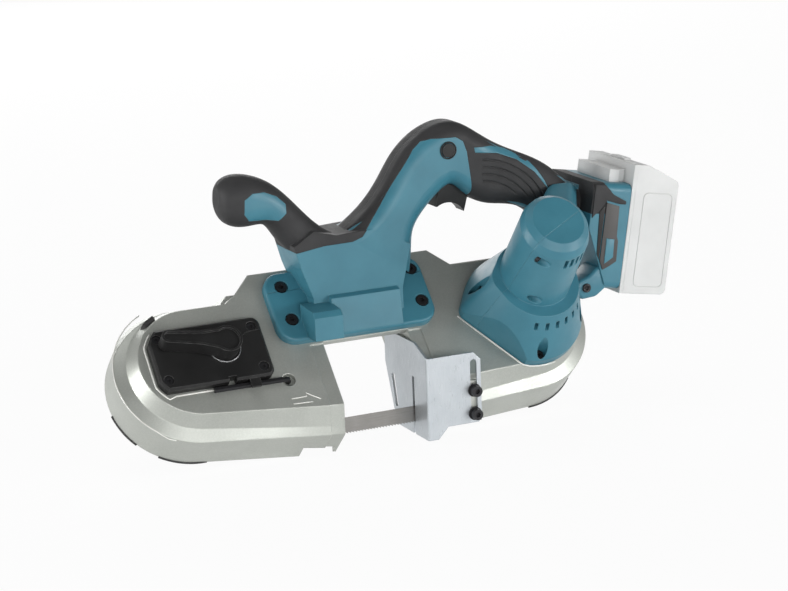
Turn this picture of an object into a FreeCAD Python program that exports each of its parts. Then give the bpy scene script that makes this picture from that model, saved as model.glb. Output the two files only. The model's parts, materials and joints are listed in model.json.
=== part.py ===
import FreeCAD, Part
import math
import os
import re
import Sketcher

# Portable band saw, millimetres.
# Row frame: X runs along the blade towards the battery, Y to the back, Z up.
# The origin is on the work face of the stop plate, in the plane of the blade, at the tooth tips.
# The frame, wheels and motor lean back about X: "m" is measured up the leaning plate, "n" square to it.

V = FreeCAD.Vector
doc = FreeCAD.newDocument("BandSaw")
sheet = doc.addObject("Spreadsheet::Sheet", "Sizes")

SIZES = {
    # whole machine
    "tilt": 47.4, "idler_x": 171, "drive_x": 100, "wheel_m": 60,
    "run_gap": 0.3, "pin_gap": 0.05, "press_gap": 0.01,
    # blade
    "blade_width": 13, "blade_thick": 0.5, "loop_radius": 46.5, "tooth_pitch": 2.5, "tooth_depth": 1.2,
    "straight_past": 12, "joint_long": 2,
    # cast frame
    "plate_top": 40.2, "plate_thick": 5.2, "rim_depth": 8, "shoulder_n": 24, "ledge_n": 28.5,
    "casting_wall": 4.5, "blade_room": 8.5, "ledge_in": 9, "crown_in": 15.5, "hood_wall": 4,
    "wheel_room": 5.5, "front_wall": 3, "bevel_slope": 0.52, "bevel_turn": 88, "bevel_steps": 8,
    "throat_left": 68.4, "throat_right": 2.3, "left_front": 11.6, "right_front": 6.5,
    "left_crease": 5.5, "right_crease": 12, "throat_top": 60, "deck_back": 126, "deck_left": 110,
    "deck_right": 41, "deck_slope": 16, "deck_tail": 96, "channel_front": 96, "wheel_room_top": 16,
    "hood_front": 9, "strip_wide": 11, "strip_deep": 0.8, "gate_half": 3.5, "gate_above": 4, "gate_reach": 9,
    "bumper_thick": 3, "bumper_width": 9, "bumper_inset": 1, "bumper_sweep": 115, "idler_bumper": 150,
    "drive_bumper": 275,
    # wheels
    "tyre_thick": 2.5, "rim_half": 9, "rim_thick": 4, "web_thick": 5, "hub_radius": 15,
    "wheel_lip": 2.2, "wheel_hole": 8, "wheel_hole_circle": 27, "axle_head": 9, "axle_head_high": 4,
    "bolt_head": 5, "bolt_head_high": 3.5, "bolt_flange": 10, "bolt_flange_high": 1.5, "axle_top": 2,
    "spindle_past": 1, "bearing_inset": 0.5,
    "bearing_outer": 11, "bearing_inner": 5, "bearing_wide": 7, "spindle_bearing_outer": 14,
    "spindle_radius": 6, "spindle_bearing_wide": 8, "spindle_boss": 19, "boss_low": 16,
    # guides
    "guide_left": 84, "guide_right": 17, "roller_radius": 4.2, "roller_high": 8, "roller_step": 6,
    "roller_pin": 1.8, "roller_low": 2.5, "bracket_low": 25, "bracket_thick": 5, "bracket_half_x": 10,
    "bracket_half_y": 8, "post_radius": 6, "post_m": 22, "post_long": 15, "ear_thick": 2.4, "ear_half": 3,
    "pin_collar": 1,
    "guide_side_room": 3, "guide_front_room": 1.6, "guide_back_room": 4,
    # blade tension, along X counted from the idler axis
    "cover_out": 34.5, "cover_in": 55, "cover_low": 36, "cover_high": 86.5, "cover_thick": 7.8,
    "cover_corner": 6, "cover_end_in": 6, "cover_chamfer": 1.6, "cover_screw_out": 27.5,
    "cover_screw_in": 47.5,
    "cover_screw_edge": 8, "cover_screw_sunk": 2.6, "cover_screw_head": 3.6, "cover_screw_high": 1.8,
    "cover_screw_radius": 2, "cover_screw_long": 10, "cover_notch": 6, "cover_notch_at": 18,
    "cover_notch_deep": 3.5, "cover_socket": 1.6, "collar_high": 1, "collar_wide": 1.5,
    "slot_out": 22, "slot_in": 44, "slot_low": 47, "slot_high": 75, "carriage_out": 21.5,
    "carriage_in": 37, "carriage_flange": 5, "flange_thick": 5, "tension_travel": 5, "carriage_boss": 5,
    "carriage_rise": 1.6,
    "lever_in": 21.5, "lever_m": 64, "lever_long": 45, "lever_thick": 13, "lever_end": 5.2,
    "lever_waist": 6, "lever_waist_at": 20,
    "lever_hub": 11, "lever_rim": 1.8, "lever_sunk": 2, "lever_roof": 4, "lever_angle": 168.6,
    "pivot_radius": 6, "cam_pin": 3, "cam_play": 1.3, "cam_disc_low": 2, "cam_disc_high": 2.8, "cam_drop": 3,
    "key_flat": 4, "key_m": 33, "key_start": 6, "key_end": 66, "key_bend": 4.5, "key_tip": 0.6,
    "key_pocket": 5.2, "key_pocket_deep": 4, "key_clip": 8, "key_clip_at": 34,
    # stop plate
    "stop_thick": 2, "stop_front": 23.3, "stop_bend_top": 55.6,
    "stop_low": 9, "stop_reach": 45.7, "stop_slit_top": 36.7, "stop_slit": 4, "stop_slot_x": 39.5,
    "stop_slot_low": 4, "stop_slot_top": 50, "stop_slot_half": 2.75, "stop_corner": 6, "stop_tail": 17,
    "stop_screw_low": 7.3, "stop_screw_high": 25.8, "stop_screw_head": 4.25, "stop_screw_shank": 2.5,
    "stop_boss_half": 7, "stop_boss_deep": 14, "washer_radius": 5.2, "washer_thick": 0.9,
    "stop_head_high": 5, "stop_socket": 2.2, "stop_fold": 1.8, "stop_screw_long": 16,
    # handle
    "handle_y": 36, "handle_half": 20, "grip_half": 18, "core_half": 13, "skin": 3, "section_corner": 13,
    "base_left": 103, "base_right": 28, "base_low": 61, "base_high": 121, "base_thick": 7,
    "base_corner": 14, "base_round": 2.5, "base_socket": 2.1,
    "knob_corner": 16, "knob_skin": 5, "knob_core_half": 9,
    "apron_left": 60, "apron_right": 3, "apron_top": 104, "apron_front": 10.5, "apron_toe": 6.5,
    "lamp_left": 82, "lamp_right": 59, "lamp_front": 8, "lamp_top": 99, "lamp_low": 77.5, "lamp_edge": 4,
    "lamp_inset": 3, "lamp_heel": 10.5, "lens_thick": 2, "board_thick": 3,
    "base_screw_radius": 2.5, "base_screw_head": 4.6, "base_screw_high": 4, "base_screw_long": 8,
    "base_screw_x": 89.4, "base_screw_span": 108.5, "base_row_low": 79.5, "base_row_high": 108.3,
    "base_screw_sunk": 4, "base_well": 5.4,
    "trigger_x": 52, "trigger_z": 163, "trigger_wide": 14, "trigger_half": 12.5, "trigger_travel": 5,
    "trigger_lean": 16, "trigger_top": 12, "trigger_low": 7, "finger_radius": 16, "finger_drop": 17.5,
    "button_x": 45, "button_z": 205, "button_radius": 5.4, "button_proud": 2,
    "switch_half": 10, "switch_left": 18, "switch_right": 20, "switch_wall": 1.5,
    "rib_x": 69.5, "rib_z": 130.4, "rib_radius": 64.5, "rib_step": 5.5, "rib_wide": 1.5, "rib_deep": 1.2,
    "rib_count": 4, "rib_start": 74,
    # motor and gears
    "skirt_radius": 48, "skirt_top": 47, "waist_radius": 34, "waist_rise": 4, "waist_reach": 22,
    "waist_corner": 15, "tower_low": 84,
    "tower_radius": 28.6, "tower_rise": 8, "tower_lean": 8.4, "tower_top": 137, "roof_mid": 143,
    "roof_top": 147,
    "roof_round": 3.2, "roof_flat": 8, "corner_reach": 43, "corner_radius": 9, "corner_angle": 172,
    "parting_angle": 27, "motor_rise": 13,
    "gear_module": 1, "pressure_angle": 20, "addendum": 0.85, "dedendum": 1.1, "pinion_past": 0.5,
    "pinion_teeth": 11, "wheel_teeth": 33, "gear_low": 44, "gear_wide": 9,
    "first_low": 55, "first_wide": 6, "backlash": 0.16, "can_radius": 22, "can_low": 76, "can_long": 50,
    "rotor_radius": 14, "air_gap": 0.8, "rotor_inset": 4, "commutator": 9, "commutator_long": 9,
    "rotor_shaft": 3, "fan_low": 67, "fan_high": 73, "fan_radius": 22,
    "fan_hub": 9, "fan_disc": 1.2, "fan_room": 1.5, "vane_count": 9, "vane_thick": 1.2,
    "gear_plate_low": 62.6, "gear_plate_thick": 3, "gear_plate_radius": 33, "gear_room": 20,
    "counter_room": 19,
    "counter_shaft": 3, "counter_hub": 4.2, "counter_seat": 3, "small_bearing": 8, "small_bearing_wide": 5,
    "rear_space": 3, "can_lip": 6,
    "flange_seat": 4, "flange_screw_circle": 43, "flange_screw_radius": 2, "flange_screw_head": 3.8,
    "flange_screw_high": 3.6, "flange_screw_long": 10.5, "flange_well": 4.3, "flange_socket": 1.7,
    "shell_screw_side": 23.8, "shell_screw_grip": 5, "shell_screw_radius": 1.4,
    "shell_screw_head": 3.2, "shell_screw_high": 2.2, "shell_well": 3.7,
    "vent_count": 7, "vent_wide": 3, "vent_low": 72, "vent_high": 78, "vent_start": 256, "vent_step": 11,
    "louvre_count": 4, "louvre_start": 272, "louvre_mid": 131, "louvre_half": 4.5, "louvre_deep": 4,
    "neck_corner": 9,
    # battery and its mount
    "pack_x": 187, "pack_z": 116, "pack_lean": 9.5, "pack_half_y": 37.5, "pack_low": 38.8, "pack_high": 64,
    "pack_deep": 42, "pack_slope_high": 52, "pack_slope_in": 13, "pack_wall": 1.2, "pack_plate": 3,
    "pack_round": 5, "pack_lid": 9, "rail_deep": 15, "rail_half": 26, "rail_neck": 22, "rail_neck_deep": 6,
    "rail_low": 14, "rail_top_in": 6, "cell_radius": 9, "cell_long": 65, "cell_step": 18.05, "cell_gap": 0.4,
    "mount_low": 36, "mount_high": 48, "mount_deep": 34, "mount_corner": 6, "mount_floor": 8,
    "mount_heel": 22,
    "mount_toe": 12, "pack_button_half": 11, "pack_button_near": 5, "pack_button_far": 12,
    "pack_button_low": 4, "pack_button_proud": 1.5, "pack_button_room": 3.3,
    "terminal_inset": 4, "terminal_high": 11, "terminal_near": 3,
}
for row, (alias, number) in enumerate(SIZES.items(), start=1):
    sheet.set("A%d" % row, alias)
    sheet.set("B%d" % row, str(number))
    sheet.setAlias("B%d" % row, alias)
doc.recompute()


class SheetReader:
    """Reads a cell of the sheet by its alias."""

    def __getattr__(self, alias):
        return float(sheet.get(alias))


size = SheetReader()
parts = {}


def tie(expression):
    """Names the sheet in front of every alias of an expression."""
    return re.sub(r"[a-z_]+", lambda word: "Sizes." + word[0] if word[0] in SIZES else word[0], expression)


def value(expression):
    """Number that an expression on the sheet's aliases gives."""
    return float(sheet.evalExpression(expression))


def leant(x, up, out):
    """Row-frame point of a place given along the blade, up the leaning plate and square to it."""
    lean = math.radians(size.tilt)
    return V(x, up * math.cos(lean) - out * math.sin(lean), up * math.sin(lean) + out * math.cos(lean))


LEANING = FreeCAD.Placement(V(0, 0, 0), FreeCAD.Rotation(V(1, 0, 0), size.tilt))
BLADE_MID = size.blade_width / 2 * math.cos(math.radians(size.tilt))
CEILING = size.plate_top - size.plate_thick
END_RADIUS = size.loop_radius + size.blade_room + size.casting_wall
LEDGE_RADIUS = END_RADIUS - size.ledge_in
CROWN_RADIUS = END_RADIUS - size.crown_in
HOOD_RADIUS = CROWN_RADIUS - size.hood_wall
ROOM_RADIUS = size.loop_radius + size.wheel_room
UP = V(0, 0, 1)
# length of a cut that goes right through, in millimetres
THROUGH = 400


def keep(label, feature):
    """Enters a finished object as a sub-part."""
    feature.Label = label
    parts[label] = feature
    return feature


def shaped(label, shape, placement=FreeCAD.Placement()):
    """Sub-part whose solid is made by Part's own functions."""
    feature = doc.addObject("Part::Feature", label)
    feature.Shape = shape
    feature.Placement = placement
    return keep(label, feature)


def plane_of(body, role):
    return next(item for item in body.Origin.OriginFeatures if item.Role == role)


def new_sketch(body, role):
    sketch = body.newObject("Sketcher::SketchObject", body.Name + "_outline")
    sketch.AttachmentSupport = (plane_of(body, role), [""])
    sketch.MapMode = "FlatFace"
    return sketch


def outline(sketch, corners):
    """Closed run of straight lines whose corners are bound to the sheet."""
    places = [V(value(across), value(along), 0) for across, along in corners]
    first = sketch.GeometryCount
    for index, place in enumerate(places):
        sketch.addGeometry(Part.LineSegment(place, places[(index + 1) % len(places)]), False)
    for index, corner in enumerate(corners):
        line = first + index
        sketch.addConstraint(Sketcher.Constraint("Coincident", line, 2,
                                                 first + (index + 1) % len(corners), 1))
        for kind, expression in zip(("DistanceX", "DistanceY"), corner):
            number = sketch.addConstraint(Sketcher.Constraint(kind, -1, 1, line, 1, value(expression)))
            sketch.setExpression("Constraints[%d]" % number, tie(expression))


def ring(sketch, across, along, radius):
    """Circle whose centre and radius are bound to the sheet."""
    circle = sketch.addGeometry(Part.Circle(V(value(across), value(along), 0), UP, value(radius)), False)
    for kind, expression in zip(("DistanceX", "DistanceY"), (across, along)):
        number = sketch.addConstraint(Sketcher.Constraint(kind, -1, 1, circle, 3, value(expression)))
        sketch.setExpression("Constraints[%d]" % number, tie(expression))
    number = sketch.addConstraint(Sketcher.Constraint("Radius", circle, value(radius)))
    sketch.setExpression("Constraints[%d]" % number, tie(radius))


def turned(label, profile, placement):
    """Sub-part revolved about its own Z axis; the profile gives radius and height pairs."""
    body = doc.addObject("PartDesign::Body", label)
    sketch = new_sketch(body, "XZ_Plane")
    outline(sketch, profile)
    turn = body.newObject("PartDesign::Revolution", label + "_turn")
    turn.Profile = sketch
    turn.ReferenceAxis = (sketch, ["V_Axis"])
    turn.Angle = 360
    body.Tip = turn
    body.Placement = placement
    return keep(label, body)


def sleeve(inner, outer, low, high):
    """Profile of a plain ring."""
    return [(inner, low), (outer, low), (outer, high), (inner, high)]


def at_axis(x, up):
    """Placement of a piece that turns about an axis square to the plate."""
    return FreeCAD.Placement(leant(x, up, 0), LEANING.Rotation)


def cylinder(radius, place, direction, length):
    return Part.makeCylinder(radius, length, place, direction)


def block(low, high):
    """Box between two corners."""
    return Part.makeBox(high[0] - low[0], high[1] - low[1], high[2] - low[2], V(*low))


def prism(points, direction):
    """Straight-sided solid on a closed run of points."""
    return Part.Face(Part.makePolygon(points + points[:1])).extrude(direction)


def rounded(shape, radius, chosen):
    """Shape with the edges that pass the test rounded."""
    return shape.makeFillet(radius, [edge for edge in shape.Edges if chosen(edge)])


def along(edge, direction):
    """Whether an edge is straight and runs along a direction."""
    if not isinstance(edge.Curve, Part.Line):
        return False
    return abs(abs(edge.tangentAt(edge.FirstParameter).dot(direction)) - 1) < 1e-6


def one_solid(shape):
    """The single solid of a boolean's result."""
    clean = shape.removeSplitter()
    if len(clean.Solids) != 1:
        raise ValueError("expected one solid, found %d" % len(clean.Solids))
    return clean.Solids[0]


# Cast frame

def housing_wire(centre_x, side, radius, throat_x, front_m, height):
    """Outline of a wheel housing at one height: throat edge, front line, round end and back line."""
    centre = V(centre_x, size.wheel_m, height)
    corner = V(throat_x, front_m, height)
    gap = corner - centre
    turn = math.atan2(gap.y, gap.x) + side * math.acos(radius / gap.Length)
    front = centre + V(math.cos(turn), math.sin(turn), 0) * radius
    back = centre + V(0, radius, 0)
    throat_back = V(throat_x, size.wheel_m + radius, height)
    edges = [
        Part.LineSegment(corner, front).toShape(),
        Part.Arc(front, centre + V(side * radius, 0, 0), back).toShape(),
        Part.LineSegment(back, throat_back).toShape(),
        Part.LineSegment(throat_back, corner).toShape(),
    ]
    return Part.Wire(edges)


def housing(centre_x, side, throat_x, front_m, crease_m):
    """Wheel housing: straight wall, sloped shoulder with its ledge round the end, flat crown."""
    rise = (size.ledge_n - size.shoulder_n) / (size.plate_top - size.shoulder_n)
    ledge_m = -front_m + rise * (crease_m + front_m)
    rim = housing_wire(centre_x, side, END_RADIUS, throat_x, -front_m, -size.rim_depth)
    shoulder = housing_wire(centre_x, side, END_RADIUS, throat_x, -front_m, size.shoulder_n)
    ledge = housing_wire(centre_x, side, LEDGE_RADIUS, throat_x, ledge_m, size.ledge_n)
    crown = housing_wire(centre_x, side, CROWN_RADIUS, throat_x, crease_m, size.plate_top)
    layers = [Part.makeLoft([low, high], True, True) for low, high in
              ((rim, shoulder), (shoulder, ledge), (ledge, crown))]
    return layers[0].multiFuse(layers[1:])


def throat_strip(form, side, throat_x):
    """Shallow step along a throat edge, of even depth over the plate and the front band."""
    ends = (throat_x - side, throat_x + side * size.strip_wide)
    strip = block((min(ends), -size.loop_radius, -size.loop_radius),
                  (max(ends), size.throat_top - 1, size.plate_top + 1))
    kept = form.copy()
    kept.translate(V(0, size.strip_deep, -size.strip_deep))
    return strip.cut(kept)


def housing_room(centre_x, side, throat_x, front_m, radius):
    """Hollow of a wheel housing: wide round the wheel, narrower under the crown."""
    inner_x = throat_x + side * size.casting_wall
    low = housing_wire(centre_x, side, radius, inner_x, size.front_wall - front_m, -size.rim_depth - 1)
    high = housing_wire(centre_x, side, HOOD_RADIUS, inner_x, size.hood_front, size.wheel_room_top)
    wide = Part.Face(low).extrude(V(0, 0, size.wheel_room_top + size.rim_depth + 1))
    return wide.fuse(Part.Face(high).extrude(V(0, 0, CEILING - size.wheel_room_top)))


def guide_room(guide_x):
    """Room cut round a blade guide, upright in the row frame."""
    half = size.bracket_half_x + size.guide_side_room
    top = size.bracket_low + size.bracket_thick + size.guide_front_room
    shape = block((guide_x - half, -size.bracket_half_y - size.guide_front_room, -size.loop_radius),
                  (guide_x + half, size.bracket_half_y + size.guide_back_room, top))
    shape.Placement = LEANING.inverse()
    return shape


def blade_gate(wall_x, side):
    """Slit in a throat wall that the blade passes through."""
    ends = (wall_x - side, wall_x + side * (size.casting_wall + size.gate_reach))
    shape = block((min(ends), -size.gate_half, -size.loop_radius),
                  (max(ends), size.gate_half, size.blade_width + size.gate_above))
    shape.Placement = LEANING.inverse()
    return shape


def rounded_plate(low, high, corner):
    """Flat plate with round corners, in leaning coordinates."""
    return rounded(block(low, high), corner, lambda edge: along(edge, UP))


def cap_screw(head, head_high, shank, length, socket):
    """Socket screw standing on Z: seat at zero, shank below."""
    screw = Part.makeCylinder(head, head_high).fuse(cylinder(shank, V(0, 0, -length), UP, length))
    turns = [step * math.pi / 3 for step in range(6)]
    hexagon = [V(socket * math.cos(turn), socket * math.sin(turn), head_high / 2) for turn in turns]
    return screw.removeSplitter().cut(prism(hexagon, V(0, 0, head_high)))


def screws_at(places, turn, *screw_sizes):
    """Group of equal screws at a list of seats."""
    group = []
    for place in places:
        screw = cap_screw(*screw_sizes)
        screw.Placement = FreeCAD.Placement(place, turn)
        group.append(screw)
    return Part.makeCompound(group)


def holes_at(places, turn, radius, deep, high):
    """Round cutters that run below and above a list of seats."""
    cutters = []
    for place in places:
        hole = cylinder(radius, V(0, 0, -deep), UP, deep + high)
        hole.Placement = FreeCAD.Placement(place, turn)
        cutters.append(hole)
    return cutters


FLANGE_ANGLES = (161, 266, 335, 60)
base_seats = [V(-size.base_screw_x + step * size.base_screw_span, up,
                size.plate_top + size.base_thick - size.base_screw_sunk)
              for step in (0, 1) for up in (size.base_row_low, size.base_row_high)]
cover_seats = [V(-size.idler_x + x, up, size.plate_top + size.cover_thick - size.cover_screw_sunk)
               for x in (-size.cover_screw_out, size.cover_screw_in)
               for up in (size.cover_low + size.cover_screw_edge, size.cover_high - size.cover_screw_edge)]
flange_seats = [V(size.drive_x + size.flange_screw_circle * math.cos(math.radians(angle)),
                  size.wheel_m + size.flange_screw_circle * math.sin(math.radians(angle)),
                  size.plate_top + size.flange_seat) for angle in FLANGE_ANGLES]
stop_seats = [V(size.stop_slot_x, -size.stop_front - size.stop_thick - size.washer_thick - size.run_gap,
                height)
              for height in (size.stop_screw_low, size.stop_screw_high)]
CENTRES = size.gear_module * (size.pinion_teeth + size.wheel_teeth) / 2
COUNTER_REACH = math.sqrt(CENTRES ** 2 - (size.motor_rise / 2) ** 2)
spindle_axis = V(size.drive_x, size.wheel_m, 0)
motor_axis = spindle_axis + V(0, size.motor_rise, 0)
counter_place = spindle_axis + V(-COUNTER_REACH, size.motor_rise / 2, 0)
LEVER_X = -size.idler_x + size.lever_in
FORWARD = FreeCAD.Rotation(V(1, 0, 0), 90)
UPRIGHT = FreeCAD.Rotation()


def deck():
    """Flat bridge between the housings that carries the handle, with the ridge behind the motor."""
    left, slope = -size.deck_left, size.deck_slope
    right = size.deck_right + slope
    corners = [(left - 2 * slope, size.throat_top), (left - 2 * slope, size.deck_back - 1.5 * slope),
               (left - slope, size.deck_back - slope), (left, size.deck_back),
               (size.deck_right, size.deck_back), (right, size.deck_back - slope), (right, size.throat_top)]
    bridge = prism([V(x, up, CEILING) for x, up in corners], V(0, 0, size.plate_thick))
    ridge = block((size.deck_right, size.channel_front, size.ledge_n),
                  (size.deck_tail, size.deck_back - slope, size.plate_top))
    return bridge.fuse(ridge)


def channel():
    """Back of the frame between the housings, with the same stepped outside as theirs."""
    back = size.wheel_m
    profile = [(size.channel_front, -size.rim_depth), (size.channel_front, size.plate_top),
               (back + CROWN_RADIUS, size.plate_top), (back + LEDGE_RADIUS, size.ledge_n),
               (back + END_RADIUS, size.shoulder_n), (back + END_RADIUS, -size.rim_depth)]
    return prism([V(-size.idler_x, up, out) for up, out in profile], V(size.idler_x + size.drive_x, 0, 0))


def back_bevel():
    """Cut behind the left crown: the wall slopes down from it, and the round end's ledge fades out."""
    top = size.plate_top + 1
    reach = 2 * END_RADIUS
    points = []
    for step in range(int(size.bevel_steps) + 1):
        share = step / size.bevel_steps
        angle = math.radians(90 + size.bevel_turn * share)
        radius = CROWN_RADIUS + (END_RADIUS + 1 - CROWN_RADIUS) * share ** 2
        points.append(V(radius * math.cos(angle) - size.idler_x,
                        radius * math.sin(angle) + size.wheel_m, top))
    slope = size.deck_slope
    corners = [(-size.idler_x - reach, points[-1].y), (-size.idler_x - reach, size.wheel_m + reach),
               (-size.deck_left, size.wheel_m + reach), (-size.deck_left, size.deck_back),
               (-size.deck_left - slope, size.deck_back - slope),
               (-size.deck_left - 1.5 * slope, size.wheel_m + CROWN_RADIUS)]
    points += [V(x, up, top) for x, up in corners]
    drop = size.plate_top + 2 * size.rim_depth
    return prism(points, V(0, size.bevel_slope * drop, -drop))


def main_frame():
    left = housing(-size.idler_x, -1, -size.throat_left, size.left_front, size.left_crease)
    right = housing(size.drive_x, 1, size.throat_right, size.right_front, size.right_crease)
    wall = size.casting_wall
    shell = left.multiFuse([right, deck(), channel()])
    shell = shell.cut([
        back_bevel(),
        housing_room(-size.idler_x, -1, -size.throat_left, size.left_front, ROOM_RADIUS),
        housing_room(size.drive_x, 1, size.throat_right, size.right_front, END_RADIUS - wall),
        block((-size.idler_x, size.channel_front + wall, -size.rim_depth - 1),
              (size.drive_x, size.wheel_m + ROOM_RADIUS, size.wheel_room_top)),
        throat_strip(left, -1, -size.throat_left), throat_strip(right, 1, size.throat_right),
    ])
    boss = cylinder(size.spindle_boss, spindle_axis + V(0, 0, size.boss_low), UP, CEILING - size.boss_low)
    half = size.stop_boss_half
    pad = block((size.stop_slot_x - half, size.run_gap - size.stop_front, size.stop_screw_low - half),
                (size.stop_slot_x + half, size.stop_boss_deep - size.stop_front, size.stop_screw_high + half))
    pad.Placement = LEANING.inverse()
    shell = shell.multiFuse([boss, pad])
    gap = size.pin_gap
    key_end = V(size.key_end - size.idler_x, size.key_m, size.plate_top - size.key_pocket_deep)
    counter_seat = counter_place + V(0, 0, size.plate_top - size.counter_seat)
    cutters = [
        block((-size.idler_x - size.slot_out, size.slot_low, CEILING - 1),
              (-size.idler_x + size.slot_in, size.slot_high, size.plate_top + 1)),
        cylinder(size.spindle_bearing_outer + size.press_gap, spindle_axis, UP, size.plate_top + 1),
        cylinder(size.counter_shaft + gap, counter_seat, UP, size.counter_seat + 1),
        cylinder(size.key_pocket, key_end, UP, size.key_pocket_deep + 1),
        guide_room(-size.guide_left), guide_room(size.guide_right),
        blade_gate(-size.throat_left, -1), blade_gate(size.throat_right, 1),
    ]
    cutters += holes_at(base_seats, UPRIGHT, size.base_screw_radius + gap, size.base_screw_long + 1, 0)
    cutters += holes_at(cover_seats, UPRIGHT, size.cover_screw_radius + gap, size.cover_screw_long + 1, 0)
    cutters += holes_at(flange_seats, UPRIGHT, size.flange_screw_radius + gap, size.flange_screw_long + 1, 0)
    bolts = holes_at(stop_seats, FORWARD, size.stop_screw_shank + gap, size.stop_screw_long + 1, 0)
    for bolt in bolts:
        bolt.Placement = LEANING.inverse().multiply(bolt.Placement)
    shaped("main_frame", one_solid(shell.cut(cutters + bolts)), LEANING)


def bumper(label, centre_x, start):
    """Rubber strip under the rim of a housing's round end."""
    centre = V(centre_x, size.wheel_m, -size.rim_depth)
    spoke = V(math.cos(math.radians(start)), math.sin(math.radians(start)), 0)
    outer = END_RADIUS - size.bumper_inset
    inner = outer - size.bumper_width
    drop = V(0, 0, -size.bumper_thick)
    points = [centre + spoke * inner, centre + spoke * outer,
              centre + spoke * (outer - size.bumper_inset) + drop,
              centre + spoke * (inner + size.bumper_inset) + drop]
    band = Part.Face(Part.makePolygon(points + points[:1])).revolve(centre, UP, size.bumper_sweep)
    shaped(label, band, LEANING)


main_frame()
bumper("idler_end_bumper", -size.idler_x, size.idler_bumper)
bumper("drive_end_bumper", size.drive_x, size.drive_bumper)

# Wheels, tyres and what carries them

MID = "blade_width/2*cos(tilt)"
TYRE_OUT = "(loop_radius-blade_thick/2-run_gap)"
RIM_OUT = "(loop_radius-blade_thick/2-run_gap-tyre_thick)"
LIP_LOW = MID + "+blade_width/2+run_gap"
WHEEL_LOW = MID + "-rim_half"
WHEEL_HIGH = MID + "+rim_half"


def wheel(label, centre_x, bore):
    """Cast wheel: hub, thin web, rim and the lip that backs the blade."""
    lip = "(" + RIM_OUT + "+tyre_thick+wheel_lip)"
    rim_in = "(" + RIM_OUT + "-rim_thick)"
    profile = [(bore, WHEEL_LOW), ("hub_radius", WHEEL_LOW), ("hub_radius", MID + "-web_thick/2"),
               (rim_in, MID + "-web_thick/2"), (rim_in, WHEEL_LOW), (RIM_OUT, WHEEL_LOW), (RIM_OUT, LIP_LOW),
               (lip, LIP_LOW), (lip, WHEEL_HIGH), (rim_in, WHEEL_HIGH), (rim_in, MID + "+web_thick/2"),
               ("hub_radius", MID + "+web_thick/2"), ("hub_radius", WHEEL_HIGH), (bore, WHEEL_HIGH)]
    body = turned(label, profile, at_axis(centre_x, size.wheel_m))
    sketch = new_sketch(body, "XY_Plane")
    ring(sketch, "wheel_hole_circle", "0", "wheel_hole")
    pocket = body.newObject("PartDesign::Pocket", label + "_window")
    pocket.Profile = sketch
    pocket.Type = "ThroughAll"
    pocket.Midplane = True
    doc.recompute()
    pattern = body.newObject("PartDesign::PolarPattern", label + "_windows")
    pattern.Originals = [pocket]
    pattern.Axis = (plane_of(body, "Z_Axis"), [""])
    pattern.Angle = 360
    pattern.Occurrences = 6
    body.Tip = pattern


AT_IDLER = at_axis(-size.idler_x, size.wheel_m)
AT_DRIVE = at_axis(size.drive_x, size.wheel_m)
wheel("idler_wheel", -size.idler_x, "bearing_outer+press_gap")
wheel("drive_wheel", size.drive_x, "spindle_radius+press_gap")
turned("idler_tyre", sleeve(RIM_OUT, TYRE_OUT, WHEEL_LOW, LIP_LOW), AT_IDLER)
turned("drive_tyre", sleeve(RIM_OUT, TYRE_OUT, WHEEL_LOW, LIP_LOW), AT_DRIVE)

IDLER_BORE = "bearing_inner+press_gap"
turned("idler_bearing_lower", sleeve(IDLER_BORE, "bearing_outer", WHEEL_LOW,
                                     WHEEL_LOW + "+bearing_wide"), AT_IDLER)
turned("idler_bearing_upper", sleeve(IDLER_BORE, "bearing_outer", WHEEL_HIGH + "-bearing_wide",
                                     WHEEL_HIGH), AT_IDLER)
turned("idler_axle", [
    ("0", WHEEL_LOW + "-axle_head_high"), ("axle_head", WHEEL_LOW + "-axle_head_high"),
    ("axle_head", WHEEL_LOW + "-run_gap"), ("bearing_inner", WHEEL_LOW + "-run_gap"),
    ("bearing_inner", "plate_top-plate_thick-axle_top"), ("0", "plate_top-plate_thick-axle_top")], AT_IDLER)
turned("drive_spindle", [
    ("0", WHEEL_LOW + "-spindle_past"), ("spindle_radius", WHEEL_LOW + "-spindle_past"),
    ("spindle_radius", "gear_low+gear_wide+spindle_past"),
    ("0", "gear_low+gear_wide+spindle_past")], AT_DRIVE)
BOLT_TOP = WHEEL_LOW + "-spindle_past"
turned("drive_wheel_bolt", [
    ("0", BOLT_TOP + "-bolt_flange_high-bolt_head_high"),
    ("bolt_head", BOLT_TOP + "-bolt_flange_high-bolt_head_high"),
    ("bolt_head", BOLT_TOP + "-bolt_flange_high"), ("bolt_flange", BOLT_TOP + "-bolt_flange_high"),
    ("bolt_flange", BOLT_TOP), ("0", BOLT_TOP)], AT_DRIVE)
SPINDLE_BORE = "spindle_radius+pin_gap"
turned("spindle_bearing_lower", sleeve(SPINDLE_BORE, "spindle_bearing_outer", "boss_low+spindle_past",
                                       "boss_low+spindle_past+spindle_bearing_wide"), AT_DRIVE)
turned("spindle_bearing_upper", sleeve(SPINDLE_BORE, "spindle_bearing_outer",
                                       "plate_top-spindle_bearing_wide-bearing_inset",
                                       "plate_top-bearing_inset"),
       AT_DRIVE)

# Blade loop

LEFT_STRAIGHT = size.guide_left + size.straight_past
RIGHT_STRAIGHT = size.guide_right + size.straight_past
TWIST_STEPS = 6


def blade_section(x, place, angle):
    """Cross-section of the blade, its width turned from upright by an angle."""
    wide = V(0, -math.sin(angle), math.cos(angle)) * (size.blade_width / 2)
    thick = V(0, math.cos(angle), math.sin(angle)) * (size.blade_thick / 2)
    corners = [place - wide - thick, place + wide - thick, place + wide + thick, place - wide + thick]
    return Part.makePolygon([V(x, p.y, p.z) for p in corners + corners[:1]])


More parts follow.
